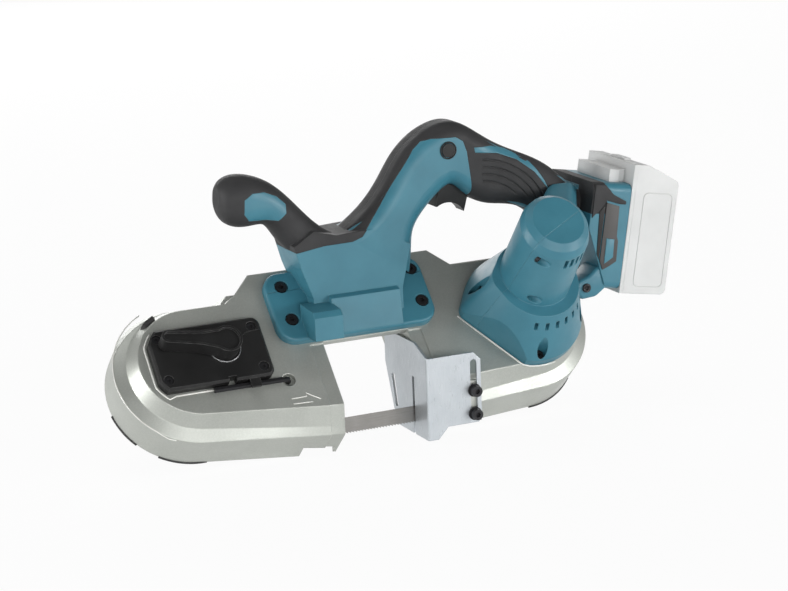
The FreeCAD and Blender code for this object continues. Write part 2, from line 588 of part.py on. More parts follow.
def twisted_run(wheel_x, guide_x):
    """Free stretch where the blade turns from the wheel's lean to upright."""
    start = leant(wheel_x, size.wheel_m - size.loop_radius, BLADE_MID)
    goal = V(guide_x, 0, size.blade_width / 2)
    sections = []
    for step in range(TWIST_STEPS + 1):
        share = step / TWIST_STEPS
        ease = share * share * (3 - 2 * share)
        place = start + (goal - start) * ease
        sections.append(blade_section(wheel_x + (guide_x - wheel_x) * share, place,
                                      math.radians(size.tilt) * (1 - ease)))
    return Part.makeLoft(sections, True, False)


def toothed_run():
    """Straight stretch through the throat, with its teeth pointing down and raked towards the travel."""
    left, right = -LEFT_STRAIGHT, RIGHT_STRAIGHT
    count = int((right - left) / size.tooth_pitch)
    points = [V(left, 0, size.blade_width), V(left, 0, size.tooth_depth)]
    for tooth in range(1, count):
        x = left + tooth * size.tooth_pitch
        points += [V(x, 0, 0), V(x, 0, size.tooth_depth)]
    points += [V(right, 0, size.tooth_depth), V(right, 0, size.blade_width)]
    run = prism(points, V(0, size.blade_thick, 0))
    run.translate(V(0, -size.blade_thick / 2, 0))
    return run


def full_section(run_x):
    """Short stretch without teeth that joins the toothed run to a twisted one."""
    half, thick = size.joint_long / 2, size.blade_thick / 2
    return block((run_x - half, -thick, 0), (run_x + half, thick, size.blade_width))


def saw_blade():
    half = size.blade_thick / 2
    low = BLADE_MID - size.blade_width / 2
    pieces = []
    for centre_x, angle in ((-size.idler_x, 90), (size.drive_x, -90)):
        centre = V(centre_x, size.wheel_m, low)
        outer = Part.makeCylinder(size.loop_radius + half, size.blade_width, centre, UP, 180)
        inner = Part.makeCylinder(size.loop_radius - half, size.blade_width, centre, UP, 180)
        bend = outer.cut(inner)
        bend.rotate(centre, UP, angle)
        pieces.append(bend)
    back = size.wheel_m + size.loop_radius
    pieces.append(block((-size.idler_x, back - half, low),
                        (size.drive_x, back + half, low + size.blade_width)))
    for piece in pieces:
        piece.Placement = LEANING.multiply(piece.Placement)
    pieces.append(twisted_run(-size.idler_x, -LEFT_STRAIGHT))
    pieces.append(twisted_run(size.drive_x, RIGHT_STRAIGHT))
    pieces.append(full_section(-LEFT_STRAIGHT))
    pieces.append(full_section(RIGHT_STRAIGHT))
    shaped("saw_blade", one_solid(toothed_run().multiFuse(pieces)))


saw_blade()

# Blade guides


def roller(label, place, direction):
    spin = FreeCAD.Placement(place, FreeCAD.Rotation(UP, direction))
    turned(label, sleeve("roller_pin+pin_gap", "roller_radius", "-roller_high/2", "roller_high/2"), spin)


def guide(side, guide_x):
    """Two side rollers and a back roller on a bracket that hangs from the frame's ceiling."""
    off = size.blade_thick / 2 + size.run_gap + size.roller_radius
    mid = size.roller_low + size.roller_high / 2
    back_z = size.blade_width + size.run_gap + size.roller_radius
    spots = {"front": V(guide_x - size.roller_step, -off, mid),
             "rear": V(guide_x + size.roller_step, off, mid)}
    for name, place in spots.items():
        roller("%s_guide_%s_roller" % (side, name), place, UP)
    roller("%s_guide_back_roller" % side, V(guide_x, 0, back_z), V(0, 1, 0))
    top = size.bracket_low + size.bracket_thick
    half_x, half_y = size.bracket_half_x, size.bracket_half_y
    bracket = block((guide_x - half_x, -half_y, size.bracket_low), (guide_x + half_x, half_y, top))
    post_foot = leant(guide_x, size.post_m, CEILING - size.post_long)
    pieces = [cylinder(size.post_radius, post_foot, leant(0, 0, 1), size.post_long)]
    reach = size.roller_high / 2 + size.run_gap
    collar = size.pin_collar
    for place in spots.values():
        foot = V(place.x, place.y, size.roller_low - collar)
        pieces.append(cylinder(size.roller_pin, foot, UP, top - foot.z))
        pieces.append(cylinder(size.roller_pin + collar, place + V(0, 0, reach), UP, 2 * collar))
    ear = size.ear_thick
    pieces.append(cylinder(size.roller_pin, V(guide_x, -reach - ear, back_z), V(0, 1, 0), 2 * (reach + ear)))
    for low_y in (-reach - ear, reach):
        pieces.append(block((guide_x - size.ear_half, low_y, back_z - size.ear_half),
                            (guide_x + size.ear_half, low_y + ear, top)))
    shaped("%s_guide_bracket" % side, one_solid(bracket.multiFuse(pieces)))


guide("left", -size.guide_left)
guide("right", size.guide_right)

# Blade tension: cover, lever, cam and sliding carriage


def tension_cover():
    """Black cover with one round side, sunk screws and a clip for the key, on top of the idler housing."""
    low = size.plate_top
    top = low + size.cover_thick
    front = size.cover_low
    plate = rounded_plate((-size.idler_x - size.cover_out, front, low),
                          (-size.idler_x + size.cover_in, size.cover_high, top), size.cover_corner)
    end = cylinder(CROWN_RADIUS - size.cover_end_in, V(-size.idler_x, size.wheel_m, low - 1), UP,
                   size.cover_thick + 2)
    end = end.fuse(block((-size.idler_x, 0, low - 1), (0, 2 * size.wheel_m, top + 1)))
    plate = one_solid(plate.common(end))
    plate = plate.makeChamfer(size.cover_chamfer,
                              [edge for edge in plate.Edges if edge.BoundBox.ZMin > top - 0.001])
    collar = cylinder(size.lever_hub + size.collar_wide, V(LEVER_X, size.lever_m, low), UP,
                      size.cover_thick + size.collar_high)
    notch_x = -size.idler_x + size.cover_notch_at
    notch = block((notch_x, front - 1, low - 1),
                  (notch_x + size.cover_notch, front + size.cover_notch_deep, top + 1))
    key_top = low + size.pin_gap + size.key_flat + size.run_gap
    clip_x = -size.idler_x + size.key_clip_at
    clip = block((clip_x, size.key_m - size.key_flat, key_top),
                 (clip_x + size.key_clip, front + 1, top - size.cover_chamfer))
    cutters = [notch, cylinder(size.pivot_radius + size.pin_gap, V(LEVER_X, size.lever_m, low - 1), UP, low)]
    cutters += holes_at(cover_seats, UPRIGHT, size.cover_screw_radius + size.pin_gap,
                        size.cover_screw_long, 0)
    cutters += holes_at(cover_seats, UPRIGHT, size.cover_screw_head + size.run_gap, 0, size.cover_thick)
    shaped("tension_cover", one_solid(plate.multiFuse([collar, clip]).cut(cutters)), LEANING)


def paddle(inset, low, high):
    """Paddle with a waist between its round hub and its round tip, along X from the pivot."""
    hub = size.lever_hub - inset
    tip = size.lever_end - inset
    waist = size.lever_waist - inset
    rise = V(0, 0, high - low)
    far = size.lever_long
    near = size.lever_waist_at
    pieces = [cylinder(hub, V(0, 0, low), UP, high - low), cylinder(tip, V(far, 0, low), UP, high - low)]
    side = [(0, 1 - hub), (near, -waist), (far, -tip), (far, tip), (near, waist), (0, hub - 1)]
    pieces.append(prism([V(x, y, low) for x, y in side], rise))
    return one_solid(pieces[0].multiFuse(pieces[1:]))


def tension_lever():
    """Lever with a sunk top, and below it the pivot with the cam pin that drives the carriage."""
    base = size.plate_top + size.cover_thick + size.collar_high + size.run_gap
    roof = size.lever_thick - size.lever_roof
    lever = paddle(0, 0, size.lever_thick)
    lever = lever.cut([paddle(size.lever_rim, size.lever_thick - size.lever_sunk, size.lever_thick + 1),
                       cylinder(size.pivot_radius, V(0, 0, -1), UP, roof + 1)])
    turn = FreeCAD.Placement(V(LEVER_X, size.lever_m, base), FreeCAD.Rotation(UP, size.lever_angle))
    shaped("tension_lever", one_solid(lever), LEANING.multiply(turn))
    disc = V(LEVER_X, size.lever_m, CEILING + size.cam_disc_low)
    cam_at = V(LEVER_X - size.tension_travel, size.lever_m, CEILING - size.cam_drop)
    shaft = cylinder(size.pivot_radius, disc, UP, base + roof - disc.z)
    arm = cylinder(size.cam_pin + size.tension_travel + 1, disc, UP, size.cam_disc_high)
    pin = cylinder(size.cam_pin, cam_at, UP, size.cam_drop + size.cam_disc_low + 1)
    shaped("tension_pivot", one_solid(shaft.multiFuse([arm, pin])), LEANING)


def tension_carriage():
    """Block that carries the idler axle and slides along the slot in the plate."""
    gap = size.run_gap
    under = CEILING - gap
    low = under - size.flange_thick
    left, right = -size.idler_x - size.carriage_out, -size.idler_x + size.carriage_in
    body = block((left, size.slot_low + gap, low),
                 (right, size.slot_high - gap, CEILING + size.carriage_rise))
    flange = block((left, size.slot_low - size.carriage_flange, low),
                   (right, size.slot_high + size.carriage_flange, under))
    boss_low = BLADE_MID + size.rim_half + gap
    boss = cylinder(size.bearing_inner + size.carriage_boss, V(-size.idler_x, size.wheel_m, boss_low), UP,
                    under - boss_low)
    play = size.cam_pin + size.cam_play
    cam_x = LEVER_X - size.tension_travel
    slot = block((cam_x - play, size.lever_m - size.tension_travel - play, low - 1),
                 (cam_x + play, size.lever_m + play, size.plate_top))
    bore = cylinder(size.bearing_inner, V(-size.idler_x, size.wheel_m, 0), UP, CEILING - size.axle_top)
    shaped("tension_carriage", one_solid(body.multiFuse([flange, boss]).cut([slot, bore])), LEANING)


def hex_key():
    """Key that lies along the cover's front, its short end bent into a pocket of the plate."""
    corner = size.key_flat / math.sqrt(3)
    rest = size.plate_top + size.pin_gap + size.key_flat / 2
    bend_x = size.key_end - size.key_bend - size.idler_x
    turns = [step * math.pi / 3 for step in range(6)]
    points = [V(bend_x, size.key_m + corner * math.cos(turn),
                rest + corner * math.sin(turn)) for turn in turns]
    arm = prism(points, V(size.key_start - size.idler_x - bend_x, 0, 0))
    pivot = V(bend_x, size.key_m, rest - size.key_bend)
    bend = Part.Face(Part.makePolygon(points + points[:1])).revolve(pivot, V(0, 1, 0), 90)
    drop = size.plate_top - size.key_pocket_deep + size.key_tip - pivot.z
    tip = prism([V(bend_x + point.z - pivot.z, point.y, pivot.z) for point in points], V(0, 0, drop))
    shaped("hex_key", one_solid(arm.multiFuse([bend, tip])), LEANING)


tension_cover()
tension_lever()
tension_carriage()
hex_key()
cover_screw = (size.cover_screw_head, size.cover_screw_high, size.cover_screw_radius, size.cover_screw_long,
               size.cover_socket)
shaped("tension_cover_screws", screws_at(cover_seats, UPRIGHT, *cover_screw), LEANING)

# Stop plate: folded sheet that the work rests against

# depth and height of the corners behind the fold, and of the slanted slot there
STOP_SIDE = [(-4, 64), (32, 64), (51, 59), (51, 38), (37, 2), (29.5, -9)]
STOP_WINDOW = [(40.7, 29.8), (35, 31.5), (29, 6), (34.2, 4.2)]


def stop_plate():
    thick, front = size.stop_thick, size.stop_front
    low, top, reach = -size.stop_low, size.stop_bend_top, size.stop_reach
    corner, chamfer = size.stop_corner, size.stop_corner / 2
    behind = [(-front - thick, top)] + STOP_SIDE + [(-front - thick, low)]
    side = prism([V(0, y, z) for y, z in behind], V(thick, 0, 0))
    ahead = [(0, top), (reach - corner, top), (reach, top - corner), (reach, chamfer), (reach - chamfer, 0),
             (size.stop_tail, 0), (size.stop_tail / 2, low), (0, low)]
    face = prism([V(x, -front, z) for x, z in ahead], V(0, -thick, 0))
    bent = one_solid(side.fuse(face))
    fold = [edge for edge in bent.Edges if along(edge, UP) and edge.BoundBox.XMax < 0.001
            and edge.BoundBox.YMax < 0.001 - front - thick]
    bent = bent.makeFillet(size.stop_fold, fold)
    half = size.stop_slot_half
    slot = block((size.stop_slot_x - half, -front - thick - 1, size.stop_slot_low),
                 (size.stop_slot_x + half, 1 - front, size.stop_slot_top))
    slot = rounded(slot, half - 0.05, lambda edge: along(edge, V(0, 1, 0)))
    slit = block((-1, -size.stop_slit / 2, low - 1), (thick + 1, size.stop_slit / 2, size.stop_slit_top))
    window = prism([V(-1, y, z) for y, z in STOP_WINDOW], V(thick + 2, 0, 0))
    window = rounded(window, size.stop_fold, lambda edge: along(edge, V(1, 0, 0)))
    shaped("stop_plate", one_solid(bent.cut([slot, slit, window])))


def stop_washers():
    washers = []
    for seat in stop_seats:
        disc = cylinder(size.washer_radius, seat, V(0, 1, 0), size.washer_thick)
        washers.append(disc.cut(cylinder(size.stop_screw_shank + size.pin_gap, seat - V(0, 1, 0),
                                         V(0, 1, 0), 4)))
    shaped("stop_washers", Part.makeCompound(washers))


stop_plate()
stop_washers()
stop_screw = (size.stop_screw_head, size.stop_head_high, size.stop_screw_shank, size.stop_screw_long,
              size.stop_socket)
shaped("stop_screws", screws_at(stop_seats, FORWARD, *stop_screw))

# Handle


def section(centre, across, half_across, half_y, corner):
    """Round-cornered cross-section of the handle, square to its path in the handle's plane."""
    across = across.normalize()
    side = V(0, 1, 0)
    corner = min(corner, 0.95 * half_across, 0.95 * half_y)
    edges = []
    marks = []
    for one, two in ((1, 1), (-1, 1), (-1, -1), (1, -1)):
        middle = centre + across * (one * (half_across - corner)) + side * (two * (half_y - corner))
        outward = across * (one * corner)
        sideways = side * (two * corner)
        first, last = (outward, sideways) if one * two > 0 else (sideways, outward)
        marks.append((middle + first, middle + (outward + sideways) * math.sqrt(0.5), middle + last))
    for index, (start, mid, end) in enumerate(marks):
        edges.append(Part.Arc(start, mid, end).toShape())
        edges.append(Part.LineSegment(end, marks[(index + 1) % 4][0]).toShape())
    return Part.Wire(edges)


# outer and inner point of each section along the arm and the grip, then its half thickness
ARM = [((-46, 150), (12, 112), 20), ((-22, 163), (16, 143), 20), ((1, 191), (27, 160), 19.5),
       ((22, 215), (43, 174), 19), ((50, 225.5), (54, 175), 18.5), ((80, 211), (72, 161), 18),
       ((110, 195), (96, 155), 17.5), ((141, 177), (124, 142), 18), ((168, 163), (160, 122), 19)]
# the same from the neck to the tip of the front grip, upper point first
KNOB = [((-48, 150.6), (-81, 128), 20), ((-66, 163.5), (-86, 142.3), 17),
        ((-80.8, 179.9), (-94.2, 152), 15.5),
        ((-98.7, 195.4), (-103.7, 162.8), 16), ((-116.1, 202.2), (-118.6, 163.1), 17.5),
        ((-129.6, 202.3), (-132.3, 166.4), 16), ((-138.5, 195), (-139.5, 179), 7)]
# outline of the foot in the handle's plane
FOOT = [(-72, 40), (-72, 104), (-81, 128), (-86, 146), (-70, 156), (-51, 151), (-31, 152), (-12, 151),
        (10, 136), (2, 104), (2, 40)]
# soft grip area in the handle's plane, and the hard inlays left bare in it
SOFT = [(-84, 141), (-61, 144), (-38, 144.3), (-30, 147), (-12, 168.7), (2.7, 188.7), (17.5, 208),
        (24, 213.5),
        (32, 215), (52, 214.4), (58, 210.6), (61, 202), (63, 187), (65, 171), (62, 150), (118, 125),
        (146, 146),
        (172, 143), (172, 240), (-30, 250), (-170, 240), (-170, 150)]
GRIP_INLAY = [(67.5, 204.5), (83, 203.8), (97, 199.8), (106, 194.6), (108, 191.5), (113, 188.2),
              (115.5, 188.4),
              (121, 182), (127, 173), (131.6, 163.5), (119.4, 179.5), (104.8, 190.7), (87.8, 197.8),
              (68.2, 200.5)]
KNOB_INLAY = [(-122.7, 186), (-116, 190.2), (-106.2, 190), (-95.8, 185.4), (-88.7, 178.7), (-89.1, 171.8),
              (-95.2, 166.7), (-104.1, 168.2), (-118.8, 169.2), (-123.3, 175.2)]


def lofted(table, corner):
    """Smooth form through the sections of a table."""
    sections = []
    for (outer_x, outer_z), (inner_x, inner_z), half_y in table:
        outer = V(outer_x, size.handle_y, outer_z)
        inner = V(inner_x, size.handle_y, inner_z)
        half = (outer - inner).Length / 2
        sections.append(section((outer + inner) / 2, outer - inner, half, half_y, corner))
    return Part.makeLoft(sections, True, False)


def core(table, skin, half_y):
    """Hard core of a table's form, that the soft grip is moulded round."""
    low = V(0, size.handle_y - half_y, 0)
    above = []
    below = []
    for (outer_x, outer_z), (inner_x, inner_z), reach in table:
        outer = V(outer_x, 0, outer_z)
        inner = V(inner_x, 0, inner_z)
        inward = (inner - outer).normalize() * skin
        above.append(outer + inward + low)
        below.append(inner - inward + low)
    return prism(above + below[::-1], V(0, 2 * half_y, 0))


def pack_frame():
    """Placement of the battery mount: Z up along the slide, X out of the mount, Y as in the row frame."""
    return FreeCAD.Placement(V(size.pack_x, size.handle_y, size.pack_z),
                             FreeCAD.Rotation(V(0, 1, 0), size.pack_lean))


def mount_block():
    """Block at the back of the grip that holds the battery's rails."""
    half, deep, low = size.pack_half_y, size.mount_deep, size.mount_low
    body = block((-deep, -half, -low), (0, half, size.mount_high))
    body = rounded(body, size.mount_corner, lambda edge: along(edge, V(1, 0, 0)))
    taper = prism([V(-deep - 1, -half - 1, -low - 1), V(-deep - 1, -half - 1, low - size.mount_heel),
                   V(-size.mount_toe, -half - 1, -low - 1)], V(0, 2 * half + 2, 0))
    gap = size.run_gap
    floor = size.mount_floor - low
    neck = block((-size.rail_neck_deep - gap, -size.rail_neck - gap, floor),
                 (1, size.rail_neck + gap, 2 * size.mount_high))
    rail = block((-size.rail_deep - gap, -size.rail_half - gap, floor),
                 (-size.rail_neck_deep + gap, size.rail_half + gap, 2 * size.mount_high))
    shape = body.cut([taper, neck, rail])
    shape.Placement = pack_frame()
    return shape


def side_prism(left, right, points):
    """Straight form along X on a run of depth and height pairs."""
    return prism([V(left, y, z) for y, z in points], V(right - left, 0, 0))


def base_form():
    """Flange of the handle on the frame plate, with the apron and the lamp's block that stand on it."""
    top = size.plate_top + size.base_thick
    flange = rounded_plate((-size.base_left, size.base_low, size.plate_top),
                           (size.base_right, size.base_high, top),
                           size.base_corner)
    flange = rounded(flange, size.base_round, lambda edge: edge.BoundBox.ZMin > top - 0.001)
    flange.Placement = LEANING
    back = size.handle_y - size.handle_half
    apron = side_prism(-size.apron_left, -size.apron_right, [
        (back + 1, size.apron_top + 2), (size.apron_front, size.apron_top), (size.apron_toe, size.lamp_low),
        (back + 1, size.lamp_low)])
    front, edge = -size.lamp_front, size.lamp_edge
    lamp = side_prism(-size.lamp_left, -size.lamp_right, [
        (back + edge, size.lamp_top + 2), (front + edge, size.lamp_top), (front, size.lamp_top - edge),
        (front, size.lamp_low), (size.lamp_front + 1, size.lamp_low),
        (back + edge, size.lamp_low + size.lamp_heel)])
    return flange.multiFuse([apron, lamp])


def area(points):
    """Area of the handle's plane, run right through the handle."""
    return prism([V(x, size.handle_y - 3 * size.handle_half, z) for x, z in points],
                 V(0, 6 * size.handle_half, 0))


def foot_form():
    """Upright foot of the handle, standing on the base flange."""
    return prism([V(x, size.handle_y - size.handle_half, z) for x, z in FOOT], V(0, 2 * size.handle_half, 0))


def trigger_frame():
    """Placement at the trigger's face: Z along its travel into the handle."""
    return FreeCAD.Placement(V(size.trigger_x, size.handle_y, size.trigger_z),
                             FreeCAD.Rotation(V(0, 1, 0), size.trigger_lean))


def trigger_block(gap, low, high):
    """Straight block along the trigger's travel."""
    half = size.trigger_half + gap
    wide = size.trigger_wide / 2 + gap
    return block((-half, -wide, low), (half, wide, high))


def trigger_pocket():
    pocket = trigger_block(size.run_gap, -size.handle_half,
                           size.trigger_top + size.trigger_travel + size.run_gap)
    pocket.Placement = trigger_frame()
    return pocket


def switch_box(gap):
    """Space of the switch above the trigger, or with a gap the switch itself."""
    lean = math.radians(size.trigger_lean)
    rise = size.trigger_top + size.trigger_travel + size.run_gap
    low = size.trigger_z + rise * math.cos(lean) + size.trigger_half * math.sin(lean) + 1
    high = size.button_z - size.button_radius - size.switch_wall
    return block((size.trigger_x - size.switch_left + gap, size.handle_y - size.switch_half + gap, low + gap),
                 (size.trigger_x + size.switch_right - gap, size.handle_y + size.switch_half - gap,
                  high - gap))


def lamp_box(gap, low, high):
    """Space in the lamp block's underside between two heights."""
    inset = size.lamp_inset + gap
    return block((-size.lamp_left + inset, -size.lamp_front + inset, size.lamp_low + low),
                 (-size.lamp_right - inset, size.lamp_front - inset, size.lamp_low + high))


def grip_ribs():
    """Arched grooves in both sides of the soft grip."""
    centre = V(size.rib_x, size.handle_y, size.rib_z)
    solid_half = size.grip_half - size.rib_deep
    cutters = []
    for step in range(int(size.rib_count)):
        outer = size.rib_radius - step * size.rib_step
        inner = outer - size.rib_wide
        for side in (-1, 1):
            start = centre + V(0, side * solid_half, 0)
            hoop = cylinder(outer, start, V(0, side, 0), size.handle_half)
            cutters.append(hoop.cut(cylinder(inner, start, V(0, side, 0), size.handle_half)))
    reach = 2 * size.rib_radius
    window = block((size.rib_start, -reach, size.rib_z + size.rib_wide), (reach, reach, 2 * reach))
    return [cutter.common(window) for cutter in cutters]


def largest(shape):
    return max(shape.removeSplitter().Solids, key=lambda solid: solid.Volume)


def handle():
    """Two shells that meet in the handle's plane, and the soft grip moulded on each."""
    outer = lofted(ARM, size.section_corner)
    outer = outer.multiFuse([lofted(KNOB, size.knob_corner), foot_form(), base_form(), mount_block()])
    span = THROUGH
    above = block((-span, -span, size.plate_top), (span, span, span))
    above.Placement = LEANING
    outer = one_solid(outer.common(above))
    soft = area(SOFT).cut([area(GRIP_INLAY), area(KNOB_INLAY), core(ARM, size.skin, size.core_half),
                           core(KNOB[:-1], size.knob_skin, size.knob_core_half)])
    gap = size.pin_gap
    button_bore = cylinder(size.button_radius + gap, V(size.button_x, -size.handle_y, size.button_z),
                           V(0, 1, 0), span)
    lamp_room = lamp_box(0, -1, size.lens_thick + size.board_thick + size.run_gap)
    holes = holes_at(base_seats, UPRIGHT, size.base_screw_radius + gap, size.base_screw_long, 0)
    holes += holes_at(base_seats, UPRIGHT, size.base_well, 0, 2 * size.plate_top)
    for hole in holes:
        hole.Placement = LEANING.multiply(hole.Placement)
    cutters = [trigger_pocket(), switch_box(0), button_bore, lamp_room] + holes
    ribs = grip_ribs()
    for name, low_y in (("front", size.handle_y - span), ("rear", size.handle_y)):
        half = outer.common(block((-span, low_y, -span), (span, low_y + span, span))).cut(cutters)
        shaped("handle_%s_half" % name, largest(half.cut(soft)))
        shaped("soft_grip_%s" % name, Part.makeCompound(half.common(soft).cut(ribs).Solids))


def trigger():
    body = trigger_block(0, -size.trigger_low, size.trigger_top)
    finger = cylinder(size.finger_radius, V(1, -size.trigger_wide, -size.finger_drop), V(0, 1, 0),
                      2 * size.trigger_wide)
    shaped("trigger", one_solid(body.cut(finger)), trigger_frame())


def small_handle_parts():
    shaped("switch_body", switch_box(size.pin_gap))
    reach = size.grip_half + size.button_proud
    shaped("lock_off_button", cylinder(size.button_radius,
                                       V(size.button_x, size.handle_y - reach, size.button_z),
                                       V(0, 1, 0), 2 * reach))
    base_screw = (size.base_screw_head, size.base_screw_high, size.base_screw_radius, size.base_screw_long,
                  size.base_socket)
    shaped("base_screws", screws_at(base_seats, UPRIGHT, *base_screw), LEANING)
    gap = size.pin_gap
    shaped("lamp_lens", lamp_box(gap, size.run_gap, size.run_gap + size.lens_thick))
    shaped("lamp_board", lamp_box(gap, size.run_gap + size.lens_thick,
                                  size.run_gap + size.lens_thick + size.board_thick - gap))


handle()
trigger()
small_handle_parts()

# Motor housing and gear train


def drop_wire(height, radius, reach, corner, shift):
    """Round outline near the drive axis with one corner drawn out, at one height."""
    middle = spindle_axis + V(0, shift, height)
    turn = math.radians(size.corner_angle)
    spread = math.acos((radius - corner) / reach)
    tip = middle + V(math.cos(turn), math.sin(turn), 0) * reach

    def spoke(centre, length, angle):
        return centre + V(math.cos(angle), math.sin(angle), 0) * length

    first, last = turn + spread, turn - spread
    edges = [
        Part.Arc(spoke(middle, radius, first), spoke(middle, radius, turn + math.pi),
                 spoke(middle, radius, last)).toShape(),
        Part.LineSegment(spoke(middle, radius, last), spoke(tip, corner, last)).toShape(),
        Part.Arc(spoke(tip, corner, last), spoke(tip, corner, turn), spoke(tip, corner, first)).toShape(),
        Part.LineSegment(spoke(tip, corner, first), spoke(middle, radius, first)).toShape(),
    ]
    return Part.Wire(edges)


def tower_centre(height):
    """Middle of the leaning tower at one height."""
    lean = math.tan(math.radians(size.tower_lean))
    return spindle_axis + V(0, size.tower_rise + (height - size.tower_low) * lean, height)


def tower_ring(height, inset):
    circle = Part.Circle(tower_centre(height), UP, size.tower_radius - inset)
    return Part.Wire(circle.toShape())


def drum_form():
    """Outside of the motor housing: flange with straight front edge, tapering skirt, leaning tower, roof."""
    flange = drop_wire(size.plate_top, size.skirt_radius, size.corner_reach, size.corner_radius, 0)
    skirt = drop_wire(size.skirt_top, size.skirt_radius, size.corner_reach, size.corner_radius, 0)
    waist = drop_wire(size.tower_low, size.waist_radius, size.waist_reach, size.waist_corner, size.waist_rise)
    rings = [tower_ring(size.tower_low - 1, 0), tower_ring(size.tower_top, 1),
             tower_ring(size.roof_mid, size.roof_round), tower_ring(size.roof_top, size.roof_flat)]
    pieces = [Part.makeLoft([low, high], True, True) for low, high in
              [(flange, skirt), (skirt, waist)] + list(zip(rings, rings[1:]))]
    (left_x, left_m), (right_x, right_m) = FRONT_EDGE
    beyond = prism([V(left_x, left_m, 0), V(right_x, right_m, 0), V(right_x, -size.skirt_radius, 0),
                    V(-left_x, -size.skirt_radius, 0), V(-left_x, left_m, 0)], V(0, 0, size.tower_low))
    return pieces[0].multiFuse(pieces[1:]).cut(beyond)


# ends of the flange's straight front edge, along the blade and up the plate
FRONT_EDGE = ((47, 65), (85.6, 14.8))
# middle, half width and half height of the neck where it leaves the tower and where it meets the grip
NECK_NEAR = ((100, -42, 130), 22, 20)
NECK_FAR = ((140.8, 16.7, 149), 14, 19)
# side of the axis, height and seat distance from the parting plane of each clamping screw
SHELL_SCREWS = ((-1, 90, 10), (-1, 130, 5), (1, 100, 10))


def neck_form():
    """Neck from the tower to the side of the grip's back end, in the row frame."""
    return Part.makeLoft([section_xz(*NECK_NEAR), section_xz(*NECK_FAR)], True, True)


def section_xz(centre, half_x, half_z):
    """Round-cornered rectangle square to Y."""
    x, y, z = centre
    plate = block((x - half_x, y, z - half_z), (x + half_x, y + 1, z + half_z))
    plate = rounded(plate, size.neck_corner, lambda edge: along(edge, V(0, 1, 0)))
    return next(face for face in plate.Faces if abs(face.CenterOfMass.y - y) < 0.001).OuterWire


def shell_seats():
    """Seat and shank length of each screw that clamps the shells, and the turn they share."""
    parting = math.radians(size.parting_angle)
    outward = V(math.sin(parting), -math.cos(parting), 0)
    sideways = V(math.cos(parting), math.sin(parting), 0)
    seats = []
    for side, height, away in SHELL_SCREWS:
        place = motor_axis + sideways * (side * size.shell_screw_side) + outward * away + V(0, 0, height)
        seats.append((place, away + size.shell_screw_grip))
    return seats, FreeCAD.Rotation(UP, outward)


def vents():
    """Air slots low round the fan, and blind ones high on the tower's outer side."""
    cutters = []
    half = size.vent_wide / 2
    for step in range(int(size.vent_count)):
        slot = block((size.can_radius, -half, size.vent_low),
                     (size.skirt_radius + size.motor_rise, half, size.vent_high))
        turn = FreeCAD.Rotation(UP, size.vent_start + step * size.vent_step)
        slot.Placement = FreeCAD.Placement(motor_axis, turn)
        cutters.append(slot)
    floor = size.tower_radius - 1 - size.louvre_deep
    for step in range(int(size.louvre_count)):
        slot = block((floor, -half, -size.louvre_half), (2 * floor, half, size.louvre_half))
        turn = FreeCAD.Rotation(UP, size.louvre_start + step * size.vent_step)
        slot.Placement = FreeCAD.Placement(tower_centre(size.louvre_mid), turn)
        cutters.append(slot)
    return cutters


def motor_housing():
    neck = neck_form()
    neck.Placement = LEANING.inverse()
    form = drum_form().fuse(neck)
    gap = size.pin_gap
    floor = size.plate_top - 1
    plate_top = size.gear_plate_low + size.gear_plate_thick
    can_top = size.can_low + size.can_long
    cutters = vents() + [
        cylinder(size.gear_room, spindle_axis + V(0, 0, floor), UP, size.gear_plate_low - floor),
        cylinder(size.counter_room, counter_place + V(0, 0, floor), UP, size.gear_plate_low - floor),
        cylinder(size.gear_plate_radius + gap, spindle_axis + V(0, 0, size.gear_plate_low), UP,
                 size.gear_plate_thick),
        cylinder(size.fan_radius + size.fan_room, motor_axis + V(0, 0, plate_top), UP,
                 size.can_low - plate_top),
        cylinder(size.can_radius + gap, motor_axis + V(0, 0, size.can_low), UP, size.can_long),
        cylinder(size.can_radius - size.can_lip, motor_axis + V(0, 0, can_top), UP, size.rear_space),
        cylinder(size.small_bearing + gap, motor_axis + V(0, 0, can_top), UP,
                 size.rear_space + size.small_bearing_wide),
    ]
    cutters += holes_at(flange_seats, UPRIGHT, size.flange_screw_radius + gap, size.flange_screw_long, 0)
    cutters += holes_at(flange_seats, UPRIGHT, size.flange_well, 0, size.tower_low)
    seats, outward = shell_seats()
    for place, length in seats:
        cutters += holes_at([place], outward, size.shell_screw_radius + gap, length, 0)
        cutters += holes_at([place], outward, size.shell_well, 0, size.skirt_radius)
    form = form.cut(cutters)
    span = THROUGH
    for name, turn in (("upper", size.parting_angle), ("lower", size.parting_angle + 180)):
        half = block((-span, 0, 0), (span, span, span))
        half.Placement = FreeCAD.Placement(motor_axis, FreeCAD.Rotation(UP, turn))
        shaped("motor_housing_%s" % name, largest(form.common(half)), LEANING)


def gear_wire(teeth, turn):
    """Outline of a spur gear with involute flanks and stub teeth."""
    pitch = size.gear_module * teeth / 2
    base = pitch * math.cos(math.radians(size.pressure_angle))
    tip = pitch + size.addendum * size.gear_module
    root = pitch - size.dedendum * size.gear_module
    half_tooth = math.pi / (2 * teeth) - size.backlash / (2 * pitch)

    def unwound(radius):
        """Angle that the involute has turned through at a radius."""
        slope = math.sqrt(max((radius / base) ** 2 - 1, 0))
        return slope - math.atan(slope)

    flank = [root] + [max(base, root) + share * (tip - max(base, root)) for share in (0.15, 0.55, 1)]
    points = []
    for tooth in range(int(teeth)):
        middle = turn + 2 * math.pi * tooth / teeth
        spread = [half_tooth + unwound(pitch) - unwound(radius) for radius in flank]
        for radius, angle in zip(flank, spread):
            points.append(V(radius * math.cos(middle - angle), radius * math.sin(middle - angle), 0))
        for radius, angle in list(zip(flank, spread))[::-1]:
            points.append(V(radius * math.cos(middle + angle), radius * math.sin(middle + angle), 0))
    return points


